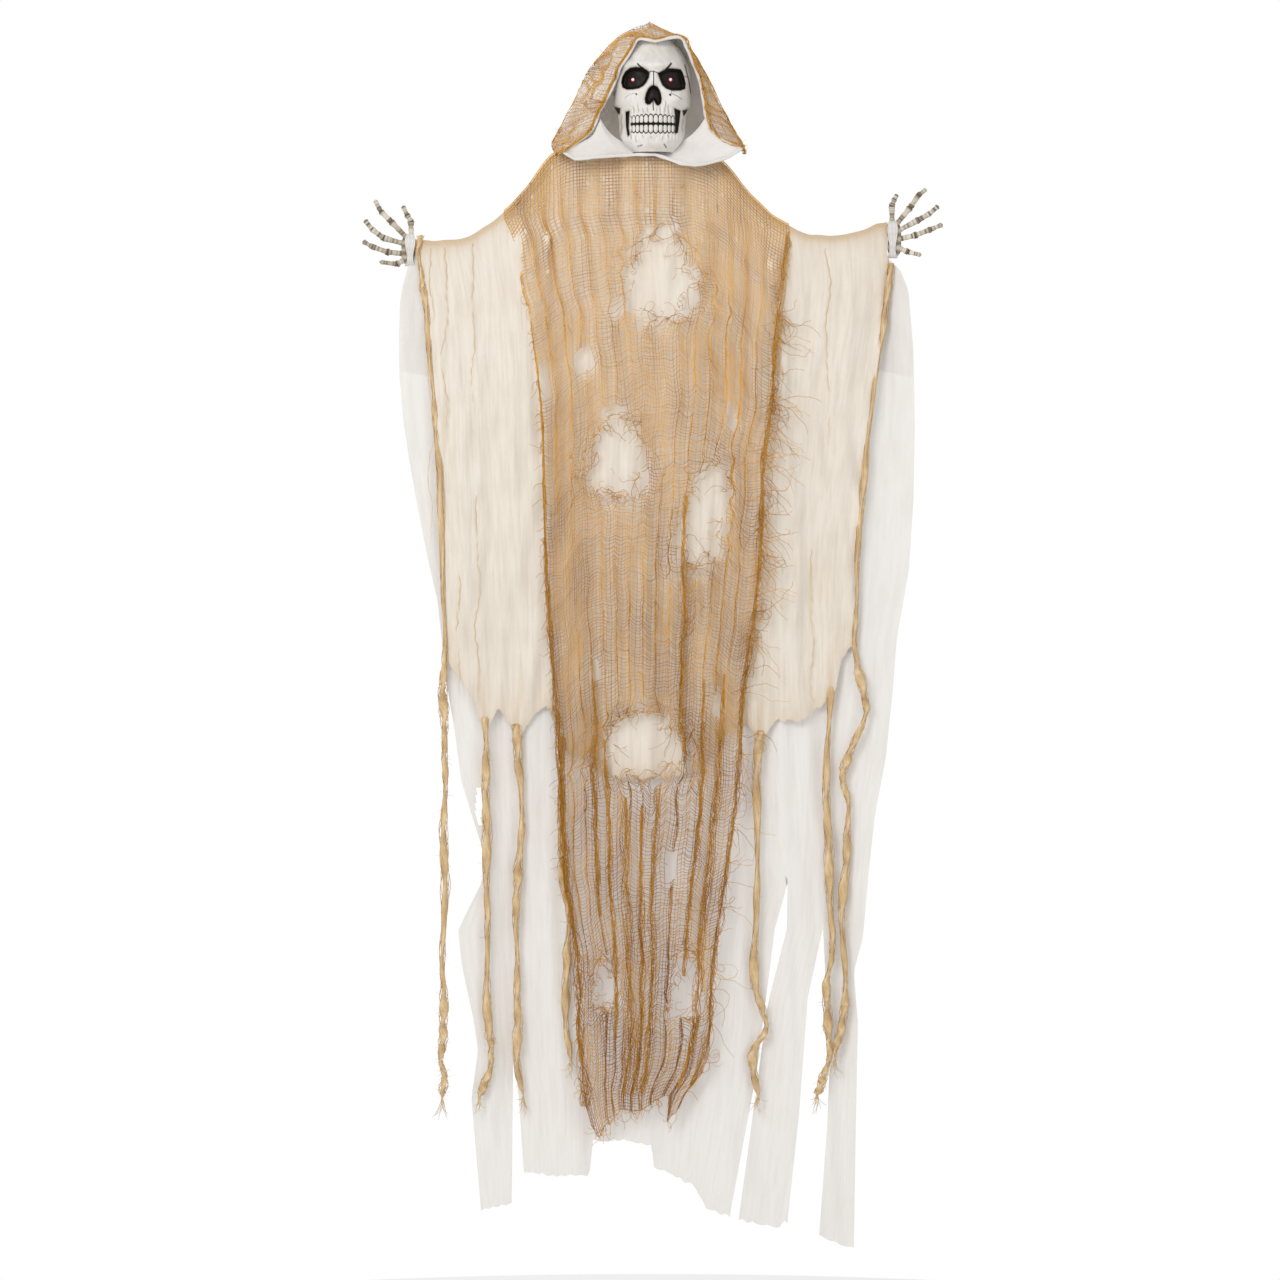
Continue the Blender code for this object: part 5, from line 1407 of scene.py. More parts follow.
    def grid(self) -> dict[str, Array]:
        """Points, torn mask, shade and lines of the whole net.

        Returns:
            The points, which are torn away, their shade, a random number and the bunching of each.
        """
        drape = self.drape
        step_x = (drape.arm_right - drape.arm_left) / drape.stations
        left_x, right_x = drape.arm_left + 4.5 * step_x, drape.arm_left + 19.0 * step_x
        even = np.linspace(0, 1, self.warps)
        top_x = left_x + (right_x - left_x) * even
        line_z = drape.height(top_x)
        low_x = -90 + 138 * even
        hem = profile(self.bottom, low_x)
        rows = int((abs(hem.mean()) - 185) / self.pitch)
        share = np.linspace(0, 1, rows)[:, None]
        z = line_z - (line_z - hem) * share
        level = np.broadcast_to(even, z.shape)
        place, bunch, phase = self.spacing(level, z)
        blend = step(line_z[None] - z, 0, 120)
        place = level + (place - level) * blend
        edge_l = side_of(((-200, left_x), (-250, left_x), *self.left), z)
        edge_r = side_of(((-200, right_x), (-290, right_x), *self.right), z)
        x = edge_l + (edge_r - edge_l) * place
        x[0] = top_x
        depth = np.maximum(line_z[None] - z, 0)
        slack = step(depth, 20, 260)
        droop = 2.8 * (1 + np.cos(phase + math.pi)) * (0.8 + 0.5 * ripples(level * 420, z * 0.4, 56, 90))
        chevron = 3.4 * np.sin(phase + 0.7) * ripples(level * 200, z * 0.5, 57, 160)
        wide = 6.0 * np.sin(2 * math.pi * (1.3 * level + z / 900)) + 3.0 * ripples(level * 420, z, 52, 60)
        z = z + (wide + chevron - droop + 0.9 * ripples(level * 90, z, 58, 12)) * slack * step(
            depth[-1:] - depth, 0, 60)
        x = x + (0.9 * ripples(x, z * 0.6, 53, 42) + 0.35 * ripples(x, z, 54, 12)) * slack
        x, torn, rim = self.hole_field(x, z)
        draw = np.random.default_rng(9)
        x = x + draw.normal(0, 0.22, x.shape) * slack
        z = z + draw.normal(0, 0.32, z.shape) * slack
        tangle = draw.uniform(-1, 1, (1, self.warps))
        twist = np.sin(z / 17 + tangle * 9)
        ripple = (2.0 * np.sin(2 * math.pi * (x + 0.02 * z) / 47) + 2.6 * bunch * twist
                  + 0.9 * ripples(x, z, 55, 26) + draw.normal(0, 0.12, x.shape))
        x = x + bunch * 1.5 * np.cos(z / 17 + tangle * 9) * slack
        points = drape.hang(x, z, line_z, Layer.NET, Face.FRONT, ripple)
        extra = len(drape.roll_angles)
        torn = np.concatenate([np.zeros((extra, self.warps), bool), torn], 0)
        # Painted shade where threads bunch into pleats and gathers; also darker near hole rims, towards the
        # bottom, and at random.
        shade = np.concatenate([np.zeros((extra, self.warps)), 0.55 * bunch + 0.25 * rim], 0)
        shade = shade + 0.30 * step(points[..., 2], -420, -1000) + 0.15 * step(points[..., 2], -1300, -1640)
        shade = shade + 0.16 * ripples(points[..., 0], points[..., 2] * 0.3, 59, 60)
        bunch = np.concatenate([np.zeros((extra, self.warps)), bunch], 0)
        missing = np.random.default_rng(14).uniform(size=torn.shape)
        return {"points": points, "torn": torn, "shade": shade, "missing": missing, "bunch": bunch}

    def bands(self, grid: dict[str, Array]) -> list[Piece]:
        """The net in three bands from the top down, each with its own warps and wefts.

        Args:
            grid: The net's grid, as grid returns it.

        Returns:
            The bands.
        """
        points, torn, shade = grid["points"], grid["torn"], grid["shade"]
        rows = len(points)
        cuts = [0, *(int(rows * share) for share in self.band_ends), rows - 1]
        made = []
        for number, (first, last) in enumerate(zip(cuts, cuts[1:])):
            band = slice(first, last + 1)
            pts, gone, dark = points[band], torn[band], shade[band]
            weft_alive = ~(gone[:, :-1] | gone[:, 1:]) & (grid["missing"][band, :-1] > self.missing_wefts)
            picks = np.unique(np.append(np.arange(0, last + 1 - first, self.weft_rows), last - first))
            warp = np.swapaxes(pts[picks], 0, 1)
            warp_gone = gone[picks].T
            warp_alive = ~(warp_gone[:, :-1] | warp_gone[:, 1:])
            draw = np.random.default_rng(60 + number)
            weft_tone = dark + 0.45 * draw.uniform(0, 1, (len(pts), 1)) ** 2 - 0.08
            warp_tone = dark[picks].T + 0.45 * draw.uniform(0, 1, (self.warps, 1)) ** 2 - 0.22
            if number == len(self.band_ends):
                second = (np.arange(self.warps) % 2 == 0)[:, None]
                warp_alive &= second | (grid["bunch"][band][picks].T[:, 1:] > 0.3)
            threads = [tubes(f"net_{kind}_{number + 1}", paths, self.thread, 3, alive, {"shade": tone},
                             self.depth)
                       for kind, paths, alive, tone in (("weft", pts, weft_alive, weft_tone),
                                                        ("warp", warp, warp_alive, warp_tone))]
            piece = join(f"net_band_{number + 1}", threads)
            stand_for("net_panel")
            made.append(piece)
        return made

    def ropes(self, grid: dict[str, Array]) -> Piece:
        """The thick bunches: extra threads wound along each gather, darkest at the net's two edges.

        Each has half widths at heights, a number of threads, and a tone.

        Args:
            grid: The net's grid, as grid returns it.

        Returns:
            The ropes, as one piece.
        """
        points = grid["points"]
        rows = np.arange(0, len(points), 2)
        plans = {0.0: (self.left_rope, 17, 0.34), 1.0: (self.right_rope, 13, 0.30)}
        inner = (self.inner_rope, 13, 0.12)
        strings, shades = [], []
        for number, g in enumerate(self.gathers):
            widths, count, tone = plans.get(g.share, inner)
            table = np.asarray(widths, float)
            if g.share not in plans:
                table[:, 0] = g.top - 40 - table[:, 0] * (1 + 0.25 * math.sin(5 * number))
            column = int(round(g.share * (self.warps - 1)))
            line = points[rows, column]
            keep = (line[:, 2] < table[0, 0]) & (line[:, 2] > table[-1, 0])
            line = line[keep] - (0, 1.2, 0)
            smooth = np.ones(15) / 15
            line = np.stack([np.convolve(np.pad(axis, 7, "edge"), smooth, "valid") for axis in line.T], 1)
            size = np.interp(-line[:, 2], -table[:, 0], table[:, 1])
            size = size * (1 + 0.22 * np.sin(line[:, 2] / 29 + number))
            bundle = wind(line, count, size, 200 + number)
            full = np.full((count, len(rows), 3), np.nan)
            full[:, :bundle.shape[1]] = bundle
            strings.append(full)
            draw = np.random.default_rng(number)
            tones = np.zeros((count, len(rows)))
            deeper = 0.30 * step(line[:, 2], -500, -1100)
            tones[:, :bundle.shape[1]] = tone + deeper[None] + draw.normal(0, 0.12, (count, 1))
            shades.append(tones)
        paths = np.concatenate(strings)
        alive = ~np.isnan(paths[:, :-1, 0]) & ~np.isnan(paths[:, 1:, 0])
        last = np.maximum.accumulate(np.where(np.isnan(paths[..., 0]), 0, np.arange(paths.shape[1])[None]), 1)
        paths = np.take_along_axis(paths, last[..., None], 1)
        paths = paths + np.linspace(0, 0.01, paths.shape[1])[None, :, None]
        return tubes("net_ropes", paths, self.rope_thread, 3, alive, {"shade": np.concatenate(shades)})

    def loose(self, grid: dict[str, Array]) -> Piece:
        """Loose threads: frayed ends along both edges, round the holes and under the hem.

        Args:
            grid: The net's grid, as grid returns it.

        Returns:
            The threads, as one piece.
        """
        points = grid["points"]
        draw = np.random.default_rng(33)
        starts, headings, lengths = [], [], []

        def add(place: Array, heading: Array | tuple[float, ...], low: float, high: float) -> None:
            """Note threads that start at places and head the same way, more or less.

            Args:
                place: Where each starts.
                heading: Where they head.
                low: Shortest length.
                high: Longest length.
            """
            starts.append(place)
            headings.append(heading + draw.normal(0, 0.45, (len(place), 3)) * (1, 0.4, 1))
            lengths.append(draw.uniform(low, high, len(place)))

        rows = np.arange(30, len(points) - 4)
        odds = np.where(np.abs(points[rows, -1, 2] + 600) < 330, 4.0, 1.0)
        right = draw.choice(rows, self.right_frays, p=odds / odds.sum())
        add(points[right, -1], (0.8, -0.3, -0.6), 10, 80)
        left = draw.choice(rows, self.left_frays)
        add(points[left, 0], (-1.0, -0.3, -0.4), 5, 26)
        for cx, cz, hx, hz, lean in self.holes[:6]:
            turn = np.concatenate([draw.uniform(0, 2 * math.pi, 16), draw.normal(1.57, 0.7, 8),
                                   draw.normal(4.71, 0.7, 9)])
            x = cx + hx * 1.02 * np.cos(turn) - lean * hz * np.sin(turn)
            z = cz + hz * np.sin(turn)
            near = np.argmin((points[..., 0].ravel()[None] - x[:, None]) ** 2
                             + (points[..., 2].ravel()[None] - z[:, None]) ** 2, 1)
            place = points.reshape(-1, 3)[near]
            inward = np.stack([-np.cos(turn), -0.25 + 0 * turn, -np.sin(turn) * 0.7 - 0.3], -1)
            add(place, inward, 6, 30)
            around = np.stack([-np.sin(turn), -0.15 + 0 * turn, np.cos(turn)], -1)
            add(place, around * draw.choice([-1.0, 1.0], (len(turn), 1)), 14, 55)
        hem = draw.choice(np.arange(2, self.warps - 2), self.hem_frays)
        add(points[-1, hem], (0.0, -0.1, -1.0), 6, 34)
        body = draw.choice(len(points) * self.warps, self.body_frays)
        place = points.reshape(-1, 3)[body]
        add(place[place[:, 2] < -230], (0.2, -0.6, -0.8), 6, 20)
        paths = curl(np.concatenate(starts), unit(np.concatenate(headings)), np.concatenate(lengths), 71, 16,
                     0.8, 0.95)
        low = np.array(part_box("net_panel")[0][1]) / MM - 4
        paths[..., 1] = np.maximum(paths[..., 1], low)
        taper = self.loose_thread * np.linspace(1, 0.6, 16)[None]
        shade = np.broadcast_to(draw.uniform(0.15, 0.75, len(paths))[:, None], paths.shape[:2])
        return tubes("net_loose_ends", paths, taper, 3, values={"shade": shade})

    def build(self) -> None:
        """Make the net, its ropes and its loose ends."""
        grid = self.grid()
        NET_THREAD.wear(*self.bands(grid), self.ropes(grid), self.loose(grid))


def join(name: str, pieces: list[Piece]) -> Piece:
    """Make one object of several, keeping their attributes.

    Args:
        name: Name of the new object.
        pieces: The objects, which are removed.

    Returns:
        The object.
    """
    work = bmesh.new()
    for piece in pieces:
        work.from_mesh(piece.data)
    mesh = bpy.data.meshes.new(name)
    work.to_mesh(mesh)
    work.free()
    mesh.shade_smooth()
    for piece in pieces:
        old = piece.data
        bpy.data.objects.remove(piece, do_unlink=True)
        bpy.data.meshes.remove(old)
    made = bpy.data.objects.new(name, mesh)
    bpy.context.scene.collection.objects.link(made)
    return made


# The hood

@dataclass
class Hood:
    """The hood: a lining with a collar and a rolled hem, and brown net over it."""

    drape: Drape
    rows: int = 60
    front_lines: int = 14
    back_lines: int = 34
    collar_rows: int = 20
    collar_lines: int = 64
    gap: float = 0.3
    cloth: float = 1.0
    thread: float = 0.36
    depth: float = 1.4
    rope_thread: float = 0.6
    net_grid: tuple[int, int, int] = (62, 13, 44)
    missing_wefts: float = 0.03
    missing_warps: float = 0.02
    frays: int = 150
    edge_frays: int = 50
    low_frays: int = 30
    collar_low: float = -194.0
    collar_rise: int = 8
    rim_left: Line = (
        (-130, -54, -189), (-103, -50, -169), (-87, -46, -153), (-76, -44, -126), (-67, -44, -110),
        (-52, -48, -80), (-46, -57, -64), (-30, -66, -40), (-19, -71, -23), (6, -73, -26))
    rim_right: Line = (
        (134, -54, -184), (106, -50, -172), (92, -46, -158), (82, -42, -135), (78, -40, -110),
        (72, -42, -80), (63, -50, -58), (54, -60, -37), (42, -71, -20), (6, -73, -26))
    side_left: Line = (
        (-140, -43, -193), (-150, -38, -178), (-142, -34, -164), (-134, -24, -149), (-115, -14, -110),
        (-97, -14, -70), (-84, -14, -52), (-72, -16, -38), (-48, -20, -13), (-3, -26, 6.5))
    side_right: Line = (
        (138, -43, -191), (140, -38, -182), (134, -34, -172), (126, -24, -157), (110, -14, -128),
        (93, -14, -92), (80, -14, -66), (67, -16, -44), (43, -20, -16), (-3, -26, 6.5))
    back_low: tuple[float, float, float] = (0, 70, -174)
    back_high: tuple[float, float, float] = (0, 64, -36)
    collar_hem: Line = (
        (-130, -189), (-113, -200), (-72, -196), (-52, -195), (-19, -193), (6, -193), (22, -198),
        (43, -206), (64, -209), (85, -206), (115, -197), (134, -184))

    def half(self, rim: Line, side: Line, rows: int, front: int, back: int) -> Array:
        """Half of the hood from its opening round to the middle of the back.

        In front, a line runs straight from the rim to the outline with a small bulge. Behind, it is a
        quarter of an ellipse from the outline to the back. Its height falls by a power of the turn, and
        near the peak along a ridge line.

        Args:
            rim: Points of the opening's edge from the bottom up.
            side: Points of the outline.
            rows: Rows upwards.
            front: Lines between rim and outline.
            back: Lines between outline and back.

        Returns:
            Grid of points, rows by lines by three.
        """
        v = np.linspace(0, 1, rows + 1)
        edge, outline = through(rim, v)[:, None], through(side, v)[:, None]
        low, high = np.array(self.back_low, float), np.array(self.back_high, float)
        rear = (low + (high - low) * v[:, None])[:, None]
        t = np.linspace(0, 1, front + 1)[None, :-1, None]
        bulge = 3.0 * np.sin(math.pi * t) * (1 - v)[:, None, None]
        outward = bulge * np.concatenate([np.sign(outline[..., :1]), -np.ones_like(outline[..., :1]),
                                          0 * outline[..., :1]], -1)
        near = edge + (outline - edge) * t + outward
        t = np.linspace(0, 1, back + 1)[None, :]
        angle = t * math.pi / 2
        level = v[:, None]
        usual = t ** (0.08 + 0.8 * np.minimum(level, 0.8889))
        ridge = 0.6 * np.sin(angle) ** 0.6 + 0.4 * t ** 5
        drop = usual + (ridge - usual) * step(level, 0.8889, 1.0)
        z = outline[..., 2] + (rear[..., 2] - outline[..., 2]) * drop
        widest = np.abs(np.interp(z, np.asarray(side)[:, 2], np.asarray(side)[:, 0]))
        x = np.clip(outline[..., 0] * np.cos(angle) + rear[..., 0] * np.sin(angle), -widest, widest)
        far = np.stack([x, outline[..., 1] + (rear[..., 1] - outline[..., 1]) * np.sin(angle), z], -1)
        return np.concatenate([near, far], 1)

    def shape(self, rows: int, front: int, back: int) -> tuple[Array, Array]:
        """The hood's middle surface from the left rim to the right rim, and its outward normals.

        Args:
            rows: Rows upwards.
            front: Lines between rim and outline.
            back: Lines between outline and back.

        Returns:
            Grids of points and of normals.
        """
        left = self.half(self.rim_left, self.side_left, rows, front, back)
        right = self.half(self.rim_right, self.side_right, rows, front, back)
        base = np.concatenate([left, right[:, ::-1][:, 1:]], 1)
        facing = unit(np.cross(np.gradient(base, axis=0), np.gradient(base, axis=1)))
        middle = base[rows // 2, base.shape[1] // 2]
        if facing[rows // 2, base.shape[1] // 2] @ (middle - (0, self.drape.seam_y, middle[2])) < 0:
            facing = -facing
        apex = self.side_left[-1][1]
        behind = base[-1, :, 1] - apex
        lean = np.where(behind < 0, behind / (apex - self.rim_left[-1][1]) * 0.65,
                        behind / (self.back_high[1] - apex) * 1.3)
        ridge = np.stack([0 * lean, np.sin(lean), np.cos(lean)], -1)[None]
        weight = step(np.linspace(0, 1, rows + 1), 0.93, 1.0)[:, None, None]
        return base, unit(facing * (1 - weight) + ridge * weight)

    def collar(self, base: Array) -> Array:
        """The collar under the chin, between the two rims, from the right edge to the left edge.

        Each row is straight between the hem and the collar's top edge, and takes the rims' own bends
        near its ends.

        Args:
            base: The hood's middle surface.

        Returns:
            Grid of points.
        """
        rows = self.collar_rows
        share = np.linspace(0, 1, self.collar_lines + 1)
        right, left = base[:rows + 1, -1], base[:rows + 1, 0]
        hem_x = right[0, 0] + (left[0, 0] - right[0, 0]) * share
        hem = np.stack([hem_x, np.full_like(hem_x, right[0, 1] - 2.0),
                        profile(self.collar_hem, hem_x)], -1)
        top_x = right[-1, 0] + (left[-1, 0] - right[-1, 0]) * share
        wide = max(abs(right[-1, 0]), abs(left[-1, 0]))
        rim_z = right[-1, 2] + (left[-1, 2] - right[-1, 2]) * share
        rise = (np.abs(top_x) / wide) ** 3.5
        top = np.stack([top_x, -44 + 0 * top_x, self.collar_low + (rim_z - self.collar_low) * rise], -1)
        w = np.linspace(0, 1, rows + 1)[:, None, None]
        grid = hem + (top - hem) * w
        for edge, weight in ((right, (1 - share) ** 6), (left, share ** 6)):
            off = edge[:, None] - (edge[:1, None] + (edge[-1:, None] - edge[:1, None]) * w)
            grid = grid + weight[None, :, None] * off
        lift = np.linspace(0, 1, self.collar_rise + 1)[1:, None, None]
        behind = grid[-1] + lift * (1 - rise)[None, :, None] * np.array([0.0, 7.0, 17.0])
        grid = np.concatenate([grid, behind])
        w = np.concatenate([w, np.ones((self.collar_rise, 1, 1))])
        folds = 1.6 * np.sin(grid[..., 0] / 11 + grid[..., 2] / 23) * np.sin(math.pi * w[..., 0])
        grid[..., 1] = grid[..., 1] + folds * np.sin(math.pi * share)[None]
        return grid

    def lining(self) -> None:
        """The lining with two sides, the collar, and the rolled hem round the opening."""
        base, facing = self.shape(self.rows, self.front_lines, self.back_lines)
        creases = 0.8 * ripples(base[..., 0], base[..., 2], 61, 34)[..., None]
        fade = step(np.linspace(0, 1, base.shape[0]), 1, 0.8)[:, None, None]
        inset = self.gap + 0.3 + np.maximum(creases, 0) * fade
        outer = base - facing * inset
        inner = base - facing * (inset + self.cloth)
        body = sheet_piece("hood_lining_cloth", outer, wall=inner, flip=True)
        bib = self.collar(base)
        forward = np.array([0.0, 0.8, 0.6])
        collar = sheet_piece("hood_collar_cloth", bib + forward * self.gap,
                             wall=bib + forward * (self.gap + self.cloth))
        for piece in (body, collar):
            face_outwards(piece)
        ring = np.vstack([base[:, 0], base[::-1, -1][1:], bib[0][1:-1], base[:1, 0]])
        crinkle = 2.6 + 0.35 * np.sin(np.arange(len(ring)) * 0.9)
        hem = tubes("hood_rolled_hem", ring[None] + np.array([0, -0.8, 0]), crinkle[None], 8, flat=0.7)
        stitch = tubes("hood_hem_stitch", self.stitches(base), 0.3, 4)
        LINING.wear(body, collar, hem, stitch)
        stand_for("hood_lining")
        stand_for("hood_lining")

    def stitches(self, base: Array) -> Array:
        """Short stitches inside the hem, set 7 mm in from the rim of both halves.

        Args:
            base: The hood's middle surface.

        Returns:
            Three points for each stitch.
        """
        paths = []
        for line, sign in ((base[:, 1], 1), (base[:, -2], -1)):
            rows = np.arange(3, len(line) - 3)
            begin = line[rows] + np.array([0.6 * sign, -1.2, 0])
            end = begin + (line[rows + 1] - line[rows]) * 0.62
            paths.append(np.stack([begin, (begin + end) / 2 - (0, 0.35, 0), end], 1))
        return np.concatenate(paths)

    def net(self) -> None:
        """Net over the lining: slanting warps and wefts, with a wound edge round the opening."""
        rows = self.net_grid[0]
        base, facing = self.shape(*self.net_grid)
        lines = base.shape[1]
        u = np.broadcast_to(np.linspace(0, 1, lines), base.shape[:2])
        v = np.broadcast_to(np.linspace(0, 1, rows + 1)[:, None], base.shape[:2])

        def waves(seed: int, length: float) -> Array:
            """Smooth random surface over the spread-out net."""
            return ripples(u * 300, v * 220, seed, length)

        wob_u = 0.018 * waves(81, 60) + 0.006 * waves(82, 16)
        wob_v = 0.030 * waves(83, 70) + 0.010 * waves(84, 18)
        hold = step(np.minimum(u, 1 - u), 0, 0.05)
        slant = 0.05 * np.sin(2 * math.pi * v) * np.sin(2 * math.pi * u)
        new_u = np.clip(u + (wob_u + slant) * hold, 0, 1)
        new_v = np.clip(v + wob_v * step(np.minimum(v, 1 - v), 0, 0.06), 0, 1)
        lift = 1.0 + 0.55 * (1 + waves(85, 26))
        surface = base + facing * np.minimum(lift, 2.2)[..., None]
        points = sample(surface, new_u, new_v)
        shade = 0.12 + 0.2 * np.maximum(0, waves(86, 40)) + 0.25 * step(hold, 0.4, 0)
        draw = np.random.default_rng(17)
        alive = draw.uniform(size=(rows + 1, lines - 1)) > self.missing_wefts
        weft = tubes("hood_weft", points, self.thread, 3, alive, {"shade": shade}, self.depth)
        alive = draw.uniform(size=(lines, rows)) > self.missing_warps
        warp = tubes("hood_warp", np.swapaxes(points, 0, 1), self.thread, 3, alive, {"shade": shade.T},
                     self.depth)
        net = join("hood_net_mesh", [weft, warp])
        edge = np.vstack([points[:, 0], points[::-1, -1][1:]])
        edge = edge + np.array([0, -1.6, 0]) + unit(edge - edge.mean(0)) * 2.2
        low = points[0, ::-1]
        rims = []
        for seed, (line, count, wide) in enumerate(((edge, 9, 2.6), (low, 7, 1.9))):
            size = np.full(len(line), wide) * (1 + 0.25 * np.sin(np.arange(len(line)) * 0.7))
            bundle = wind(line, count, size, 300 + seed)
            tone = 0.34 + 0.12 * draw.normal(size=(count, 1))
            rims.append(tubes(f"hood_rim_{seed}", bundle, self.rope_thread, 3, values={
                "shade": np.broadcast_to(tone, bundle.shape[:2])}))
        rope = join("hood_net_edge", rims)
        count, edge_count = self.frays, self.edge_frays
        row, column = draw.integers(0, rows + 1, count), draw.integers(0, lines, count)
        column[:edge_count] = draw.choice([0, lines - 1], edge_count)
        row[edge_count:edge_count + self.low_frays] = 0
        heading = facing[row, column] * 0.5 + draw.normal(0, 0.6, (count, 3)) + np.array([0, 0, -0.3])
        fray = curl(points[row, column], unit(heading), draw.uniform(4, 13, count), 18, 7, 0.5, 0.4)
        tone = np.broadcast_to(draw.uniform(0.1, 0.6, (count, 1)), fray.shape[:2])
        taper = self.thread * np.linspace(1, 0.5, 7)[None]
        loose = tubes("hood_loose_ends", fray, taper, 3, values={"shade": tone})
        NET_THREAD.wear(net, rope, loose)
        stand_for("hood_net")

    def build(self) -> None:
        """Make the lining and the net."""
        self.lining()
        self.net()


def sample(grid: Array, u: Array, v: Array) -> Array:
    """Read a grid of points at shares u across and v up, straight between its points.

    Args:
        grid: Rows by lines by three.
        u: Shares across.
        v: Shares up.

    Returns:
        A point for each pair of shares.
    """
    rows, lines = grid.shape[:2]
    across, up = u * (lines - 1), v * (rows - 1)
    i, j = np.minimum(across.astype(int), lines - 2), np.minimum(up.astype(int), rows - 2)
    a, b = (across - i)[..., None], (up - j)[..., None]
    low = grid[j, i] * (1 - a) + grid[j, i + 1] * a
    high = grid[j + 1, i] * (1 - a) + grid[j + 1, i + 1] * a
    return low * (1 - b) + high * b


# The skull

@dataclass
class Skull:
    """The moulded face of the skull: carved relief, black paint in the recesses, and grey washes with painted
    shade.
    """

    head_x: float = 2.0
    seam_y: float = -14.0
    gap: float = 0.3
    wall: float = 2.2
    columns: int = 205
    jaw_cut: float = 27.0
    bite_z: float = -149.0
    middle: float = 3.4
    tooth_edges: tuple[float, ...] = (0.0, 7.4, 14.4, 20.8, 26.6, 31.8, 36.4, 41.0)
    lamp_hole: float = 2.9
    face: Line = (
        (-10, 1.5, 1.5), (-11.5, 12, 14), (-15, 22, 28), (-22, 32, 42), (-31, 41, 51), (-42, 48, 56),
        (-54, 53, 60), (-62, 56, 62), (-75, 58, 60), (-90, 58, 60), (-105, 58, 61), (-117, 58, 61),
        (-127, 52, 62), (-140, 50, 63), (-160, 49, 62), (-171, 45, 60), (-181, 38, 56), (-189, 29, 48))
    left_socket: Line = (
        (-44.5, -84.6), (-43, -77), (-38.5, -69.5), (-31, -64.6), (-22, -64), (-13, -65.4), (-6, -69),
        (-1.9, -72.6), (-3.1, -80), (-7, -87.5), (-11, -92), (-18, -95.8), (-27, -97), (-36, -96.6),
        (-42.5, -92.5))
    right_socket: Line = (
        (9.6, -73.5), (14, -71.5), (19, -68.6), (26, -66), (33, -65.6), (44.5, -66), (47.5, -70.5),
        (50, -78), (52, -86), (51.2, -94), (44, -97.6), (32, -98.8), (23, -96.4), (17, -91.5), (13.2, -83))
    nose: Line = (
        (3.6, -91.5), (9.5, -93.6), (12.6, -98), (14.8, -104), (16, -112), (14.8, -118.5), (11.5, -121.8),
        (8, -121), (5.6, -117), (3.7, -113.8), (1.6, -116.6), (-1.5, -120), (-5.2, -120.6), (-8.6, -117.6),
        (-9.4, -111.5), (-7.6, -104), (-4.6, -97), (-0.6, -92.8))
    hollows: tuple[Line, ...] = (
        ((-37.9, -129), (-31.6, -128), (-32.6, -141), (-33, -154), (-31.4, -164), (-34.6, -166.5),
         (-37.4, -150)),
        ((34.2, -124.5), (44, -127), (42.6, -142), (40, -160), (35.6, -163), (36, -146), (35.2, -132)),
        ((-56, -118), (-45.5, -123), (-46.6, -131), (-49.4, -129)),
        ((55, -122.6), (46.6, -126.4), (48.6, -134.5), (51.5, -130)))
    cracks: tuple[tuple[float, float, Line], ...] = (
        (1.0, 1.0, ((3.7, -72), (3.9, -80), (3.7, -92))),
        (1.1, 0.95, ((3.1, -114), (3.1, -121), (3.4, -129))),
        (1.4, 1.0, ((-20, -59.6), (-16.5, -63.5), (-11, -67))),
        (1.9, 1.0, ((29.8, -59.2), (26, -64), (20, -70))),
        (1.0, 0.9, ((-2, -71.6), (3.5, -71), (10, -73.5))),
        (1.2, 0.95, ((50.5, -58.5), (53.4, -70), (56, -79), (58, -90), (59.4, -98))),
        (0.8, 0.8, ((48.5, -75), (54, -76.5))),
        (1.3, 0.9, ((-53.5, -97), (-58.5, -108))),
        (1.7, 1.0, ((-22, -104.2), (-21.6, -104.6))),
        (2.1, 1.0, ((28.2, -105), (28.8, -105.5))),
        (0.7, 0.45, ((-23, -103), (-31, -104), (-39, -109))),
        (0.9, 0.6, ((31, -103.5), (38, -106), (46, -111))),
        (0.7, 0.7, ((30.5, -98.8), (29.8, -103))),
        (1.0, 0.85, ((-13, -180), (-19.5, -181.5))),
        (1.1, 0.9, ((19.5, -178.5), (22.6, -183))),
        (0.8, 0.5, ((-57, -119), (-47, -124))))
    streaks: Line = (
        (-26, -120, -136), (-19, -117, -134), (-12, -123, -136), (-5, -122, -135), (9, -123, -136),
        (14, -120, -135), (21, -112, -134), (26, -118, -136), (-29, -162, -174), (-22, -163, -178),
        (-13, -163, -172), (0, -164, -173), (9, -163, -170), (17, -164, -176), (25, -162, -172),
        (-44, -130, -165), (47, -136, -160))

    def tables(self, z: Array) -> tuple[Array, Array]:
        """Half width and depth at each height: the section table smoothed over a few millimetres.

        Args:
            z: Heights.

        Returns:
            Half width and depth at each height.
        """
        table = np.asarray(self.face, float)[::-1]
        near = np.linspace(-5, 5, 9)
        weight = np.exp(-(near / 3) ** 2)
        reach = step(z, -10, -30)[:, None]
        spot = np.clip(z[:, None] + near * reach, -189, -10)
        half = (np.interp(spot, table[:, 0], table[:, 1]) * weight).sum(1) / weight.sum()
        depth = (np.interp(spot, table[:, 0], table[:, 2]) * weight).sum(1) / weight.sum()
        return half, depth

    def tooth(self, x: Array) -> Array:
        """Tooth number across the mouth, whole at each gap between two teeth."""
        return np.interp(np.abs(x - self.middle), self.tooth_edges, np.arange(len(self.tooth_edges)))

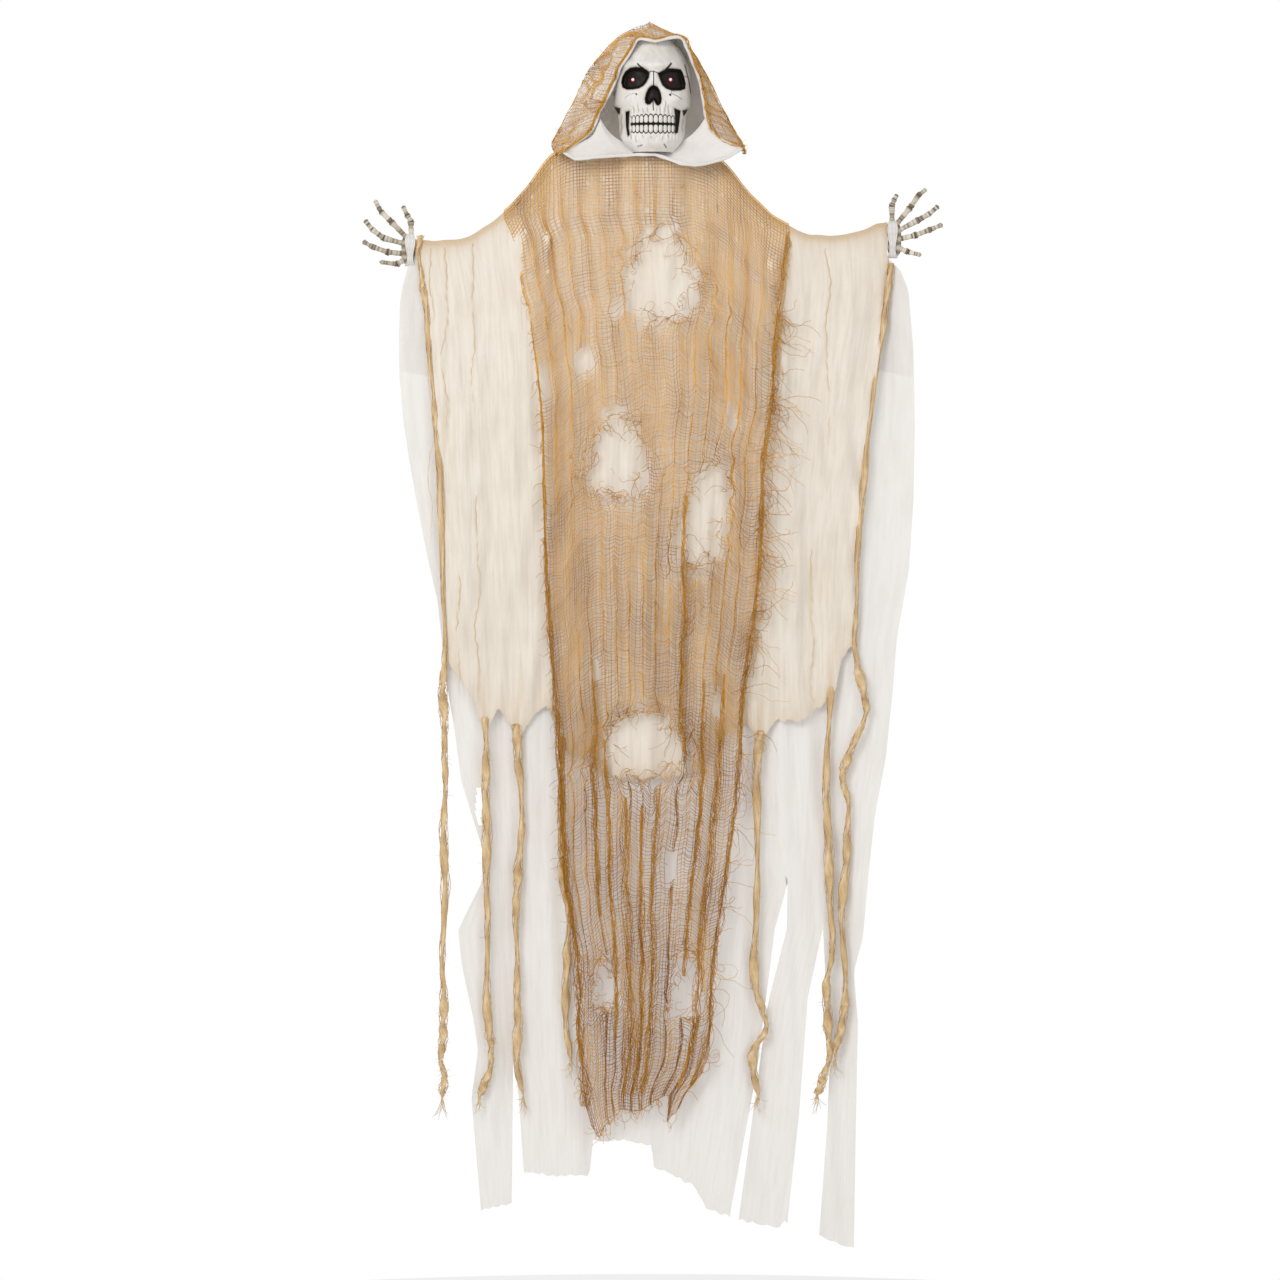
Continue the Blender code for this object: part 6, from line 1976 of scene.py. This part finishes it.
    def paint(self, x: Array, z: Array) -> tuple[Array, Array]:
        """Black paint, and grey washes with painted shade, over the front view, each from 0 to 1.

        Args:
            x: Sides of the points.
            z: Heights of the points.

        Returns:
            Paint, and washes with painted shade, at each point.
        """
        number = self.tooth(x)
        arch = np.abs(np.sin(math.pi * number))
        curve = 0.0016 * (x - self.middle) ** 2
        upper = -138.0 + 3.2 * arch ** 0.7 - curve
        lower = -160.2 - 2.6 * arch ** 0.7 + curve
        bite = self.bite_z + curve * 0.4
        side = np.abs(2 * (number % 1.0) - 1)
        black = 0 * x
        reach = step(np.abs(x - self.middle), 34.6, 33.4)
        for top, base in ((upper, bite + 0.9), (bite - 0.9, lower)):
            tall = np.abs(z - (top + base) / 2) / ((top - base) / 2)
            shape = (side ** 3.0 + tall ** 3.0) ** (1 / 3.0)
            black = np.maximum(black, step(shape, 0.80, 0.93) * step(tall, 1.22, 1.10) * reach)
        black = np.maximum(black, step(np.abs(z - bite), 1.5, 0.8) * reach)
        for outline in (self.left_socket, self.right_socket, self.nose, *self.hollows):
            black = np.maximum(black, step(inside(x, z, outline), -0.7, 0.5))
        for width, dark, line in self.cracks:
            black = np.maximum(black, dark * (1 - step(to_line(x, z, line), width * 0.45, width * 1.05)))
        # Painted shade in the gaps between the teeth along the bite.
        grime = 0.55 * (1 - step(np.abs(z - self.bite_z), 2.0, 7.5)) * reach * (1 - arch) * 0.6
        for sx, high, low in self.streaks:
            sway = sx + 0.8 * np.sin(z / 3.1 + sx)
            grime = np.maximum(grime, 0.75 * np.exp(-(x - sway) ** 2) * step(z, low, low + 5)
                               * step(z, high, high - 5))
        # Painted shade in a band round the sockets, the nose and the hollows, where the carving slopes in.
        for outline in (self.left_socket, self.right_socket, self.nose, *self.hollows):
            grime = np.maximum(grime, 0.30 * step(inside(x, z, outline), -4.0, -0.5))
        # Painted shade towards the sides of the face below the brow; a faint mottled grey band over the brow.
        edge = 0.35 * step(np.abs(x - self.head_x), 44, 58) * step(z, -60, -100)
        brow = 0.16 * np.exp(-((z + 50) / 14) ** 2) * (0.5 + 0.5 * ripples(x, z, 66, 26))
        return np.clip(black, 0, 1), np.clip(grime + edge + brow, 0, 1)

    def relief(self, x: Array, z: Array) -> Array:
        """Height of the carving over the plain skull, in millimetres towards the viewer.

        Sum of bells for brow, bridge, cheeks and chin, rounded teeth, less smooth pits in the sockets,
        nose and hollows.

        Args:
            x: Sides of the points.
            z: Heights of the points.

        Returns:
            Heights, in the shape of x.
        """
        off = x - self.head_x
        number = self.tooth(x)
        brow = 4.0 * np.exp(-((z + 61 - 0.1 * np.abs(off)) / 6) ** 2) * step(np.abs(off), 52, 40)
        frown = 2.2 * np.exp(-(off / 11) ** 2 - ((z + 66) / 5) ** 2)
        bridge = 6.0 * np.exp(-((x - 3.7) / 7) ** 2) * step(z, -98, -84) * step(z, -68, -76)
        cheek = 4.5 * np.exp(-((np.abs(off) - 40) / 11) ** 2 - ((z + 110) / 9) ** 2)
        arch = np.abs(np.sin(math.pi * number))
        mouth = step(z, -164, -160) * step(z, -134, -138) * step(np.abs(x - self.middle), 36, 34)
        bite = np.exp(-((z - self.bite_z) / 1.3) ** 2)
        crown = 1 - ((z + 143) / 9) ** 4 * (z > self.bite_z) - ((z + 155) / 8) ** 4 * (z <= self.bite_z)
        teeth = mouth * (3.0 * arch ** 0.6 * (1 - bite) * np.clip(crown, 0, 1) - 1.3)
        roots = 0.7 * np.cos(2 * math.pi * number) * (step(z, -122, -134) * step(z, -140, -136)
                                                      + step(z, -178, -166) * step(z, -160, -163))
        chin = 3.0 * np.exp(-(off / 20) ** 2 - ((z + 176) / 8) ** 2)
        rough = 0.35 * ripples(x, z, 67, 13)
        high = brow + frown + bridge + cheek + teeth + roots + chin + rough
        for outline, deep in ((self.left_socket, 14.0), (self.right_socket, 14.0), (self.nose, 10.0)):
            high = high - deep * step(inside(x, z, outline), -1.8, 5.5)
        for outline in self.hollows:
            high = high - 6.0 * step(inside(x, z, outline), -1.2, 2.6)
        for width, dark, line in self.cracks:
            high = high - 0.7 * dark * (1 - step(to_line(x, z, line), width * 0.3, width * 1.3))
        return high

    def build(self) -> None:
        """Make the face and dress the rear half, the lights and everything inside the head."""
        stops = [(-10, 8), (-14, 24), (-58, 76), (-100, 44), (-134, 56), (-164, 22), (-189, 0)]
        z = np.concatenate([np.linspace(high, low, count, endpoint=False)
                            for (high, count), (low, _) in zip(stops, stops[1:])] + [[-189.0]])
        half, depth = (value[:, None] for value in self.tables(z))
        turn = np.linspace(-math.pi / 2, math.pi / 2, self.columns)[None]
        share = np.sin(turn) * (1 - 0.34 * np.cos(turn) ** 2)
        z = z[:, None]
        x = self.head_x + half * share
        edge = self.seam_y - self.gap / 2 - self.jaw_cut * step(z, -150, -174)
        plain = edge + (self.seam_y - depth - edge) * np.sqrt(np.maximum(0, 1 - share ** 2))
        full_z = z + 0 * x
        carve = self.relief(x, full_z) * step(np.abs(share), 1, 0.93) * step(full_z, -11, -20)
        y = np.minimum(plain - carve, edge)
        black, grime = self.paint(x, full_z)
        side, top = step(np.abs(share), 0.86, 1.0), step(full_z, -34, -10)
        inner_y = np.minimum(y + self.wall * (1 - side) * (1 - top), edge)
        inner_x = self.head_x + (x - self.head_x) * (1 - side * self.wall / np.maximum(half, 2 * self.wall))
        inner_z = full_z - self.wall * top * (1 + side)
        outer = np.stack([x, y, full_z], -1)
        inner = np.stack([inner_x, inner_y, inner_z], -1)
        alive = np.ones((len(z) - 1, self.columns - 1), bool)
        mid_x, mid_z = (x[:-1, :-1] + x[1:, 1:]) / 2, (full_z[:-1, :-1] + full_z[1:, 1:]) / 2
        for lx, lz in (LED_LEFT, LED_RIGHT):
            alive &= np.hypot(mid_x - lx, mid_z - lz) > self.lamp_hole
        # The face carries its black paint, and its grey washes with painted shade.
        face = sheet_piece("skull_face_shell", outer, alive, values={"paint": black, "grime": grime},
                           wall=inner)
        face_outwards(face)
        SKULL.wear(face)
        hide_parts("skull_face")
        for finish, nodes in (
                (SKULL, ("skull_back",)), (PALE_FOAM, ("neck_block",)), (GREY_KNOB, ("switch_knob",)),
                (BLACK_CASE, ("battery_box", "battery_cover")), (CELL_SKIN, ("battery_1", "battery_2")),
                (STEEL, ("hanging_eye", "cover_screw", "arm_wire")),
                (STEEL, ("contact_plate_left", "contact_plate_right")),
                (RED_LEAD, ("left_led_wire", "right_led_wire")),
                (lamp_finish("left", LED_LEFT), ("left_eye_led",)),
                (lamp_finish("right", LED_RIGHT), ("right_eye_led",))):
            finish.wear(*(frame["nodes"][node] for node in nodes))


# The hands

@dataclass
class Hand:
    """One skeleton hand: a moulding of finger bones and palm bones, and the gauze round its palm."""

    side: Side
    node: str
    cuff_node: str
    palm_z: float
    palm_half: float
    fingers: list[Line]
    edge: float
    seam_y: float = -14.0
    palm_length: float = 20.0
    palm_depth: float = 8.0
    bone: float = 4.7
    curl: float = 7.0
    cuff_length: float = 10.0
    palm_rings: int = 40
    palm_sides: int = 56

    def finger(self, joints: Line, number: int) -> Piece:
        """One finger: shafts that swell to knuckles, with dark rings at the joints.

        The radius is the shaft's, plus a swell that grows with the fourth power of the distance from
        the middle of the bone, less a narrow notch at each joint.

        Args:
            joints: Joints from the tip to the palm.
            number: Number of the finger.

        Returns:
            The finger.
        """
        path = np.asarray(joints, float)
        lengths = np.linalg.norm(np.diff(path, axis=0), axis=1)
        stops = np.concatenate([[0], np.cumsum(lengths)]) / lengths.sum()
        s = np.linspace(0, 1, 84)
        near = np.linspace(-0.02, 0.02, 5)
        track = np.mean([np.stack([np.interp(s + d, stops, axis) for axis in path.T], -1) for d in near], 0)
        bone = np.clip(np.searchsorted(stops, s, side="right") - 1, 0, len(lengths) - 1)
        local = (s - stops[bone]) / (stops[bone + 1] - stops[bone])
        swell = np.abs(2 * local - 1) ** 4
        gap = np.minimum(local, 1 - local) * lengths[bone]
        first = (bone == 0) & (local < 0.5)
        notch = np.where((s > 0.02) & (s < 0.98) & ~first, np.exp(-(gap / 0.75) ** 2), 0)
        lumps = 1 + 0.07 * ripples(s * 90, 0 * s, 9 + number, 7)
        slim = np.where(bone == 0, 0.84, 1.0)
        radius = self.bone * (0.80 + 0.46 * swell) * (1 - 0.32 * notch) * slim * lumps
        tip = np.where(bone == 0, step(local, 0.0, 0.16), 1.0)
        radius = radius * (0.25 + 0.75 * tip)
        y = self.seam_y - self.curl * (1 - s) ** 2
        paths = np.stack([track[:, 0], y, track[:, 1]], -1)[None]
        grime = 0.2 + 0.6 * np.exp(-(gap / 3.5) ** 2) + 0.5 * ripples(s * 90, 0 * s + number * 7, 5, 6)
        return tubes(f"{self.node}_finger_{number}", paths, radius[None], 12, values={
            "paint": notch[None] * 0.95, "grime": np.clip(grime, 0, 1)[None]}, flat=0.86)

    def palm(self) -> Piece:
        """The palm: a flattened tube whose edge waves over four palm bones.

        Returns:
            The palm.
        """
        s, sides = np.linspace(0, 1, self.palm_rings), self.palm_sides
        shape = np.interp(s, (0, 0.12, 0.7, 0.92, 1), (0.62, 0.96, 1.0, 0.8, 0.55))
        x = self.edge + self.side.value * (1 + self.palm_length * s)
        turn = (np.arange(sides) * 2 * math.pi / sides)[None]
        z = self.palm_z + self.palm_half * shape[:, None] * np.sin(turn)
        ridge = 0.5 + 0.5 * np.cos((z - self.palm_z) / self.palm_half * math.pi * 4)
        y = self.seam_y + self.palm_depth * shape[:, None] * np.cos(turn) * (0.72 + 0.28 * ridge)
        points = np.stack([np.broadcast_to(x[:, None], y.shape), y, z], -1).reshape(-1, 3)
        faces = list(tube_faces(np.ones((1, len(s) - 1), bool), sides))
        # Painted shade in the valleys between the palm bones: darker paint and grey there.
        tones = {"paint": 0.35 * (1 - ridge) ** 3, "grime": np.clip(0.2 + 0.6 * (1 - ridge), 0, 1)}
        made = new_piece(f"{self.node}_palm", points, faces, tones)
        face_outwards(made)
        return made

    def cuff(self) -> None:
        """Gauze wound round the palm: a ring with slanting wraps, pressed in between them, with painted shade
        in the grooves.
        """
        s = np.linspace(-0.12, 1.1, 30)[:, None]
        turn = np.linspace(0, 2 * math.pi, 73)[None]
        wrap = 0.5 + 0.5 * np.sin(2 * math.pi * (2.4 * s + 0.35 * np.sin(turn) + turn / 2 / math.pi))
        crease = 0.35 * ripples(turn * 12 + 0 * s, s * 30 + 0 * turn, 12 + self.side.value, 7)
        edge_wave = 1.4 * np.sin(3 * turn) * (2 * s - 1)
        x = self.edge + self.side.value * (3 + self.cuff_length * s + edge_wave)
        grids = []
        for out in (1.0, 0.0):
            lift = 0.3 + out * (0.9 + 0.5 * wrap + 0.5 * np.maximum(crease, 0))
            y = self.seam_y + (self.palm_depth + 0.5 + lift) * np.cos(turn)
            z = self.palm_z + (self.palm_half + 0.7 + lift) * np.sin(turn)
            grids.append(np.stack([x + 0 * y, y, z], -1))
        # Painted shade in the grooves between the wraps, carried by the tint.
        tint = 0.25 * (1 - wrap) + 0 * turn
        made = sheet_piece(f"{self.cuff_node}_wrap", grids[0], values={"tint": tint}, wall=grids[1])
        face_outwards(made)
        CUFF_GAUZE.wear(made)
        stand_for(self.cuff_node)

    def build(self) -> None:
        """Make the fingers, the palm and the cuff."""
        fingers = [self.finger(joints, number + 1) for number, joints in enumerate(self.fingers)]
        hand = join(f"{self.node}_bones", fingers + [self.palm()])
        HAND.wear(hand)
        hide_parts(self.node)
        self.cuff()


def left_hand() -> Hand:
    """The hand on the viewer's left.

    Returns:
        The hand.
    """
    return Hand(Side.LEFT, "left_hand", "left_cuff", -332.0, 22.0, [
        [(-371, -266), (-365, -279), (-359, -289), (-358, -322)],
        [(-413, -257), (-404, -274), (-389, -289), (-360, -319)],
        [(-428, -287), (-417, -301), (-400, -314), (-363, -324)],
        [(-431, -319), (-417, -327), (-394, -335), (-363, -338)],
        [(-406, -350), (-380, -353), (-361, -342)]], -352.0)


def right_hand() -> Hand:
    """The hand on the viewer's right.

    Returns:
        The hand.
    """
    return Hand(Side.RIGHT, "right_hand", "right_cuff", -316.0, 26.0, [
        [(368, -249), (364, -256), (360, -266), (361, -306)],
        [(412, -241), (400, -250), (388, -268), (364, -297)],
        [(430, -266), (416, -278), (400, -287), (364, -306)],
        [(436, -294), (419, -301), (395, -310), (364, -317)],
        [(404, -340), (385, -335), (364, -326)]], 353.0)


# The stage

@dataclass
class Studio:
    """Floor, world, lamps and camera."""

    centre_x: float = -0.0164
    centre_z: float = -0.915
    frame_height: float = 1.909
    plane_y: float = -0.035
    distance: float = 8.0
    floor_z: float = -2.03
    floor_radius: float = 1.4
    world_light: float = 0.70
    key_power: float = 68.0
    fill_power: float = 14.0

    def floor(self) -> None:
        """A round pale floor below the figure, softened towards white where the camera sees it."""
        turn = np.linspace(0, 2 * math.pi, 97)[:-1]
        points = np.stack([self.floor_radius * np.cos(turn), self.floor_radius * np.sin(turn),
                           np.full(96, self.floor_z)], -1) / MM
        made = new_piece("studio_floor", points, [np.arange(96)[None]])
        look = bpy.data.materials.new("pale_floor")
        look.use_nodes = True
        wire = Shader(look.node_tree)
        body = look.node_tree.nodes["Principled BSDF"]
        body.inputs["Base Color"].default_value = (0.86, 0.86, 0.86, 1)
        body.inputs["Roughness"].default_value = 0.9
        path = wire.node("ShaderNodeLightPath")
        glow = wire.node("ShaderNodeEmission", {"Color": (1, 1, 1, 1), "Strength": 1.0})
        share = wire.math("MULTIPLY", path.outputs["Is Camera Ray"], 0.55)
        both = wire.node("ShaderNodeMixShader", {0: share, 1: body.outputs[0], 2: glow.outputs[0]})
        wire.feed(look.node_tree.nodes["Material Output"].inputs["Surface"], both.outputs[0])
        made.data.materials.append(look)

    def world(self) -> None:
        """Soft even light, and plain white wherever a camera, glossy or transmission ray ends."""
        world = bpy.data.worlds.new("soft_white")
        world.use_nodes = True
        bpy.context.scene.world = world
        wire = Shader(world.node_tree)
        path = wire.node("ShaderNodeLightPath")
        seen = wire.math("MAXIMUM", path.outputs["Is Camera Ray"], path.outputs["Is Glossy Ray"])
        seen = wire.math("MAXIMUM", seen, path.outputs["Is Transmission Ray"])
        light, white = (wire.node("ShaderNodeBackground", {"Color": (1, 1, 1, 1), "Strength": strength})
                        for strength in (self.world_light, 1.0))
        both = wire.node("ShaderNodeMixShader", {0: seen, 1: light.outputs[0], 2: white.outputs[0]})
        wire.feed(world.node_tree.nodes["World Output"].inputs["Surface"], both.outputs[0])

    def lamp(self, name: str, place: tuple[float, float, float], size: float, power: float) -> None:
        """A square area lamp that looks at the middle of the figure.

        Args:
            name: Name of the lamp.
            place: Where it hangs, in metres.
            size: Length of its side, in metres.
            power: Power in watts.
        """
        data = bpy.data.lights.new(name, "AREA")
        data.size = size
        data.energy = power
        made = bpy.data.objects.new(name, data)
        made.location = place
        aim = np.array([0.0, self.plane_y, -0.8]) - np.array(place)
        tilt = math.atan2(math.hypot(aim[0], aim[1]), -aim[2])
        made.rotation_euler = (tilt, 0, math.atan2(-aim[0], aim[1]))
        bpy.context.scene.collection.objects.link(made)

    def camera(self) -> None:
        """A long lens straight in front, at the height of the picture's middle."""
        data = bpy.data.cameras.new("long_lens")
        data.sensor_width = 36.0
        data.lens = 36.0 * self.distance / self.frame_height
        made = bpy.data.objects.new("camera", data)
        made.location = (self.centre_x, self.plane_y - self.distance, self.centre_z)
        made.rotation_euler = (math.pi / 2, 0, 0)
        bpy.context.scene.collection.objects.link(made)
        bpy.context.scene.camera = made

    def build(self) -> None:
        """Set up everything round the figure."""
        self.camera()
        self.floor()
        self.world()
        self.lamp("key_lamp", (-1.8, -3.4, 1.0), 1.6, self.key_power)
        self.lamp("fill_lamp", (2.4, -3.0, -0.6), 2.2, self.fill_power)
        bpy.context.scene.view_settings.view_transform = "Standard"


def main() -> None:
    """Build every piece in order, put it on the figure's body and report it."""
    logging.basicConfig(level=logging.INFO, format="%(message)s")
    GROUPS["cloud"] = cloud_group()
    GROUPS["weave"] = weave_group()
    Studio().build()
    drape = Drape()
    for builder in (Gown(drape), Robe(drape), Net(drape), Hood(drape), Skull(), left_hand(), right_hand()):
        before = set(bpy.data.objects)
        builder.build()
        for piece in sorted(set(bpy.data.objects) - before, key=lambda o: o.name):
            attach(piece, BODY)
            log.info("%s: %d faces", piece.name, len(piece.data.polygons))


if __name__ == "__main__":
    main()
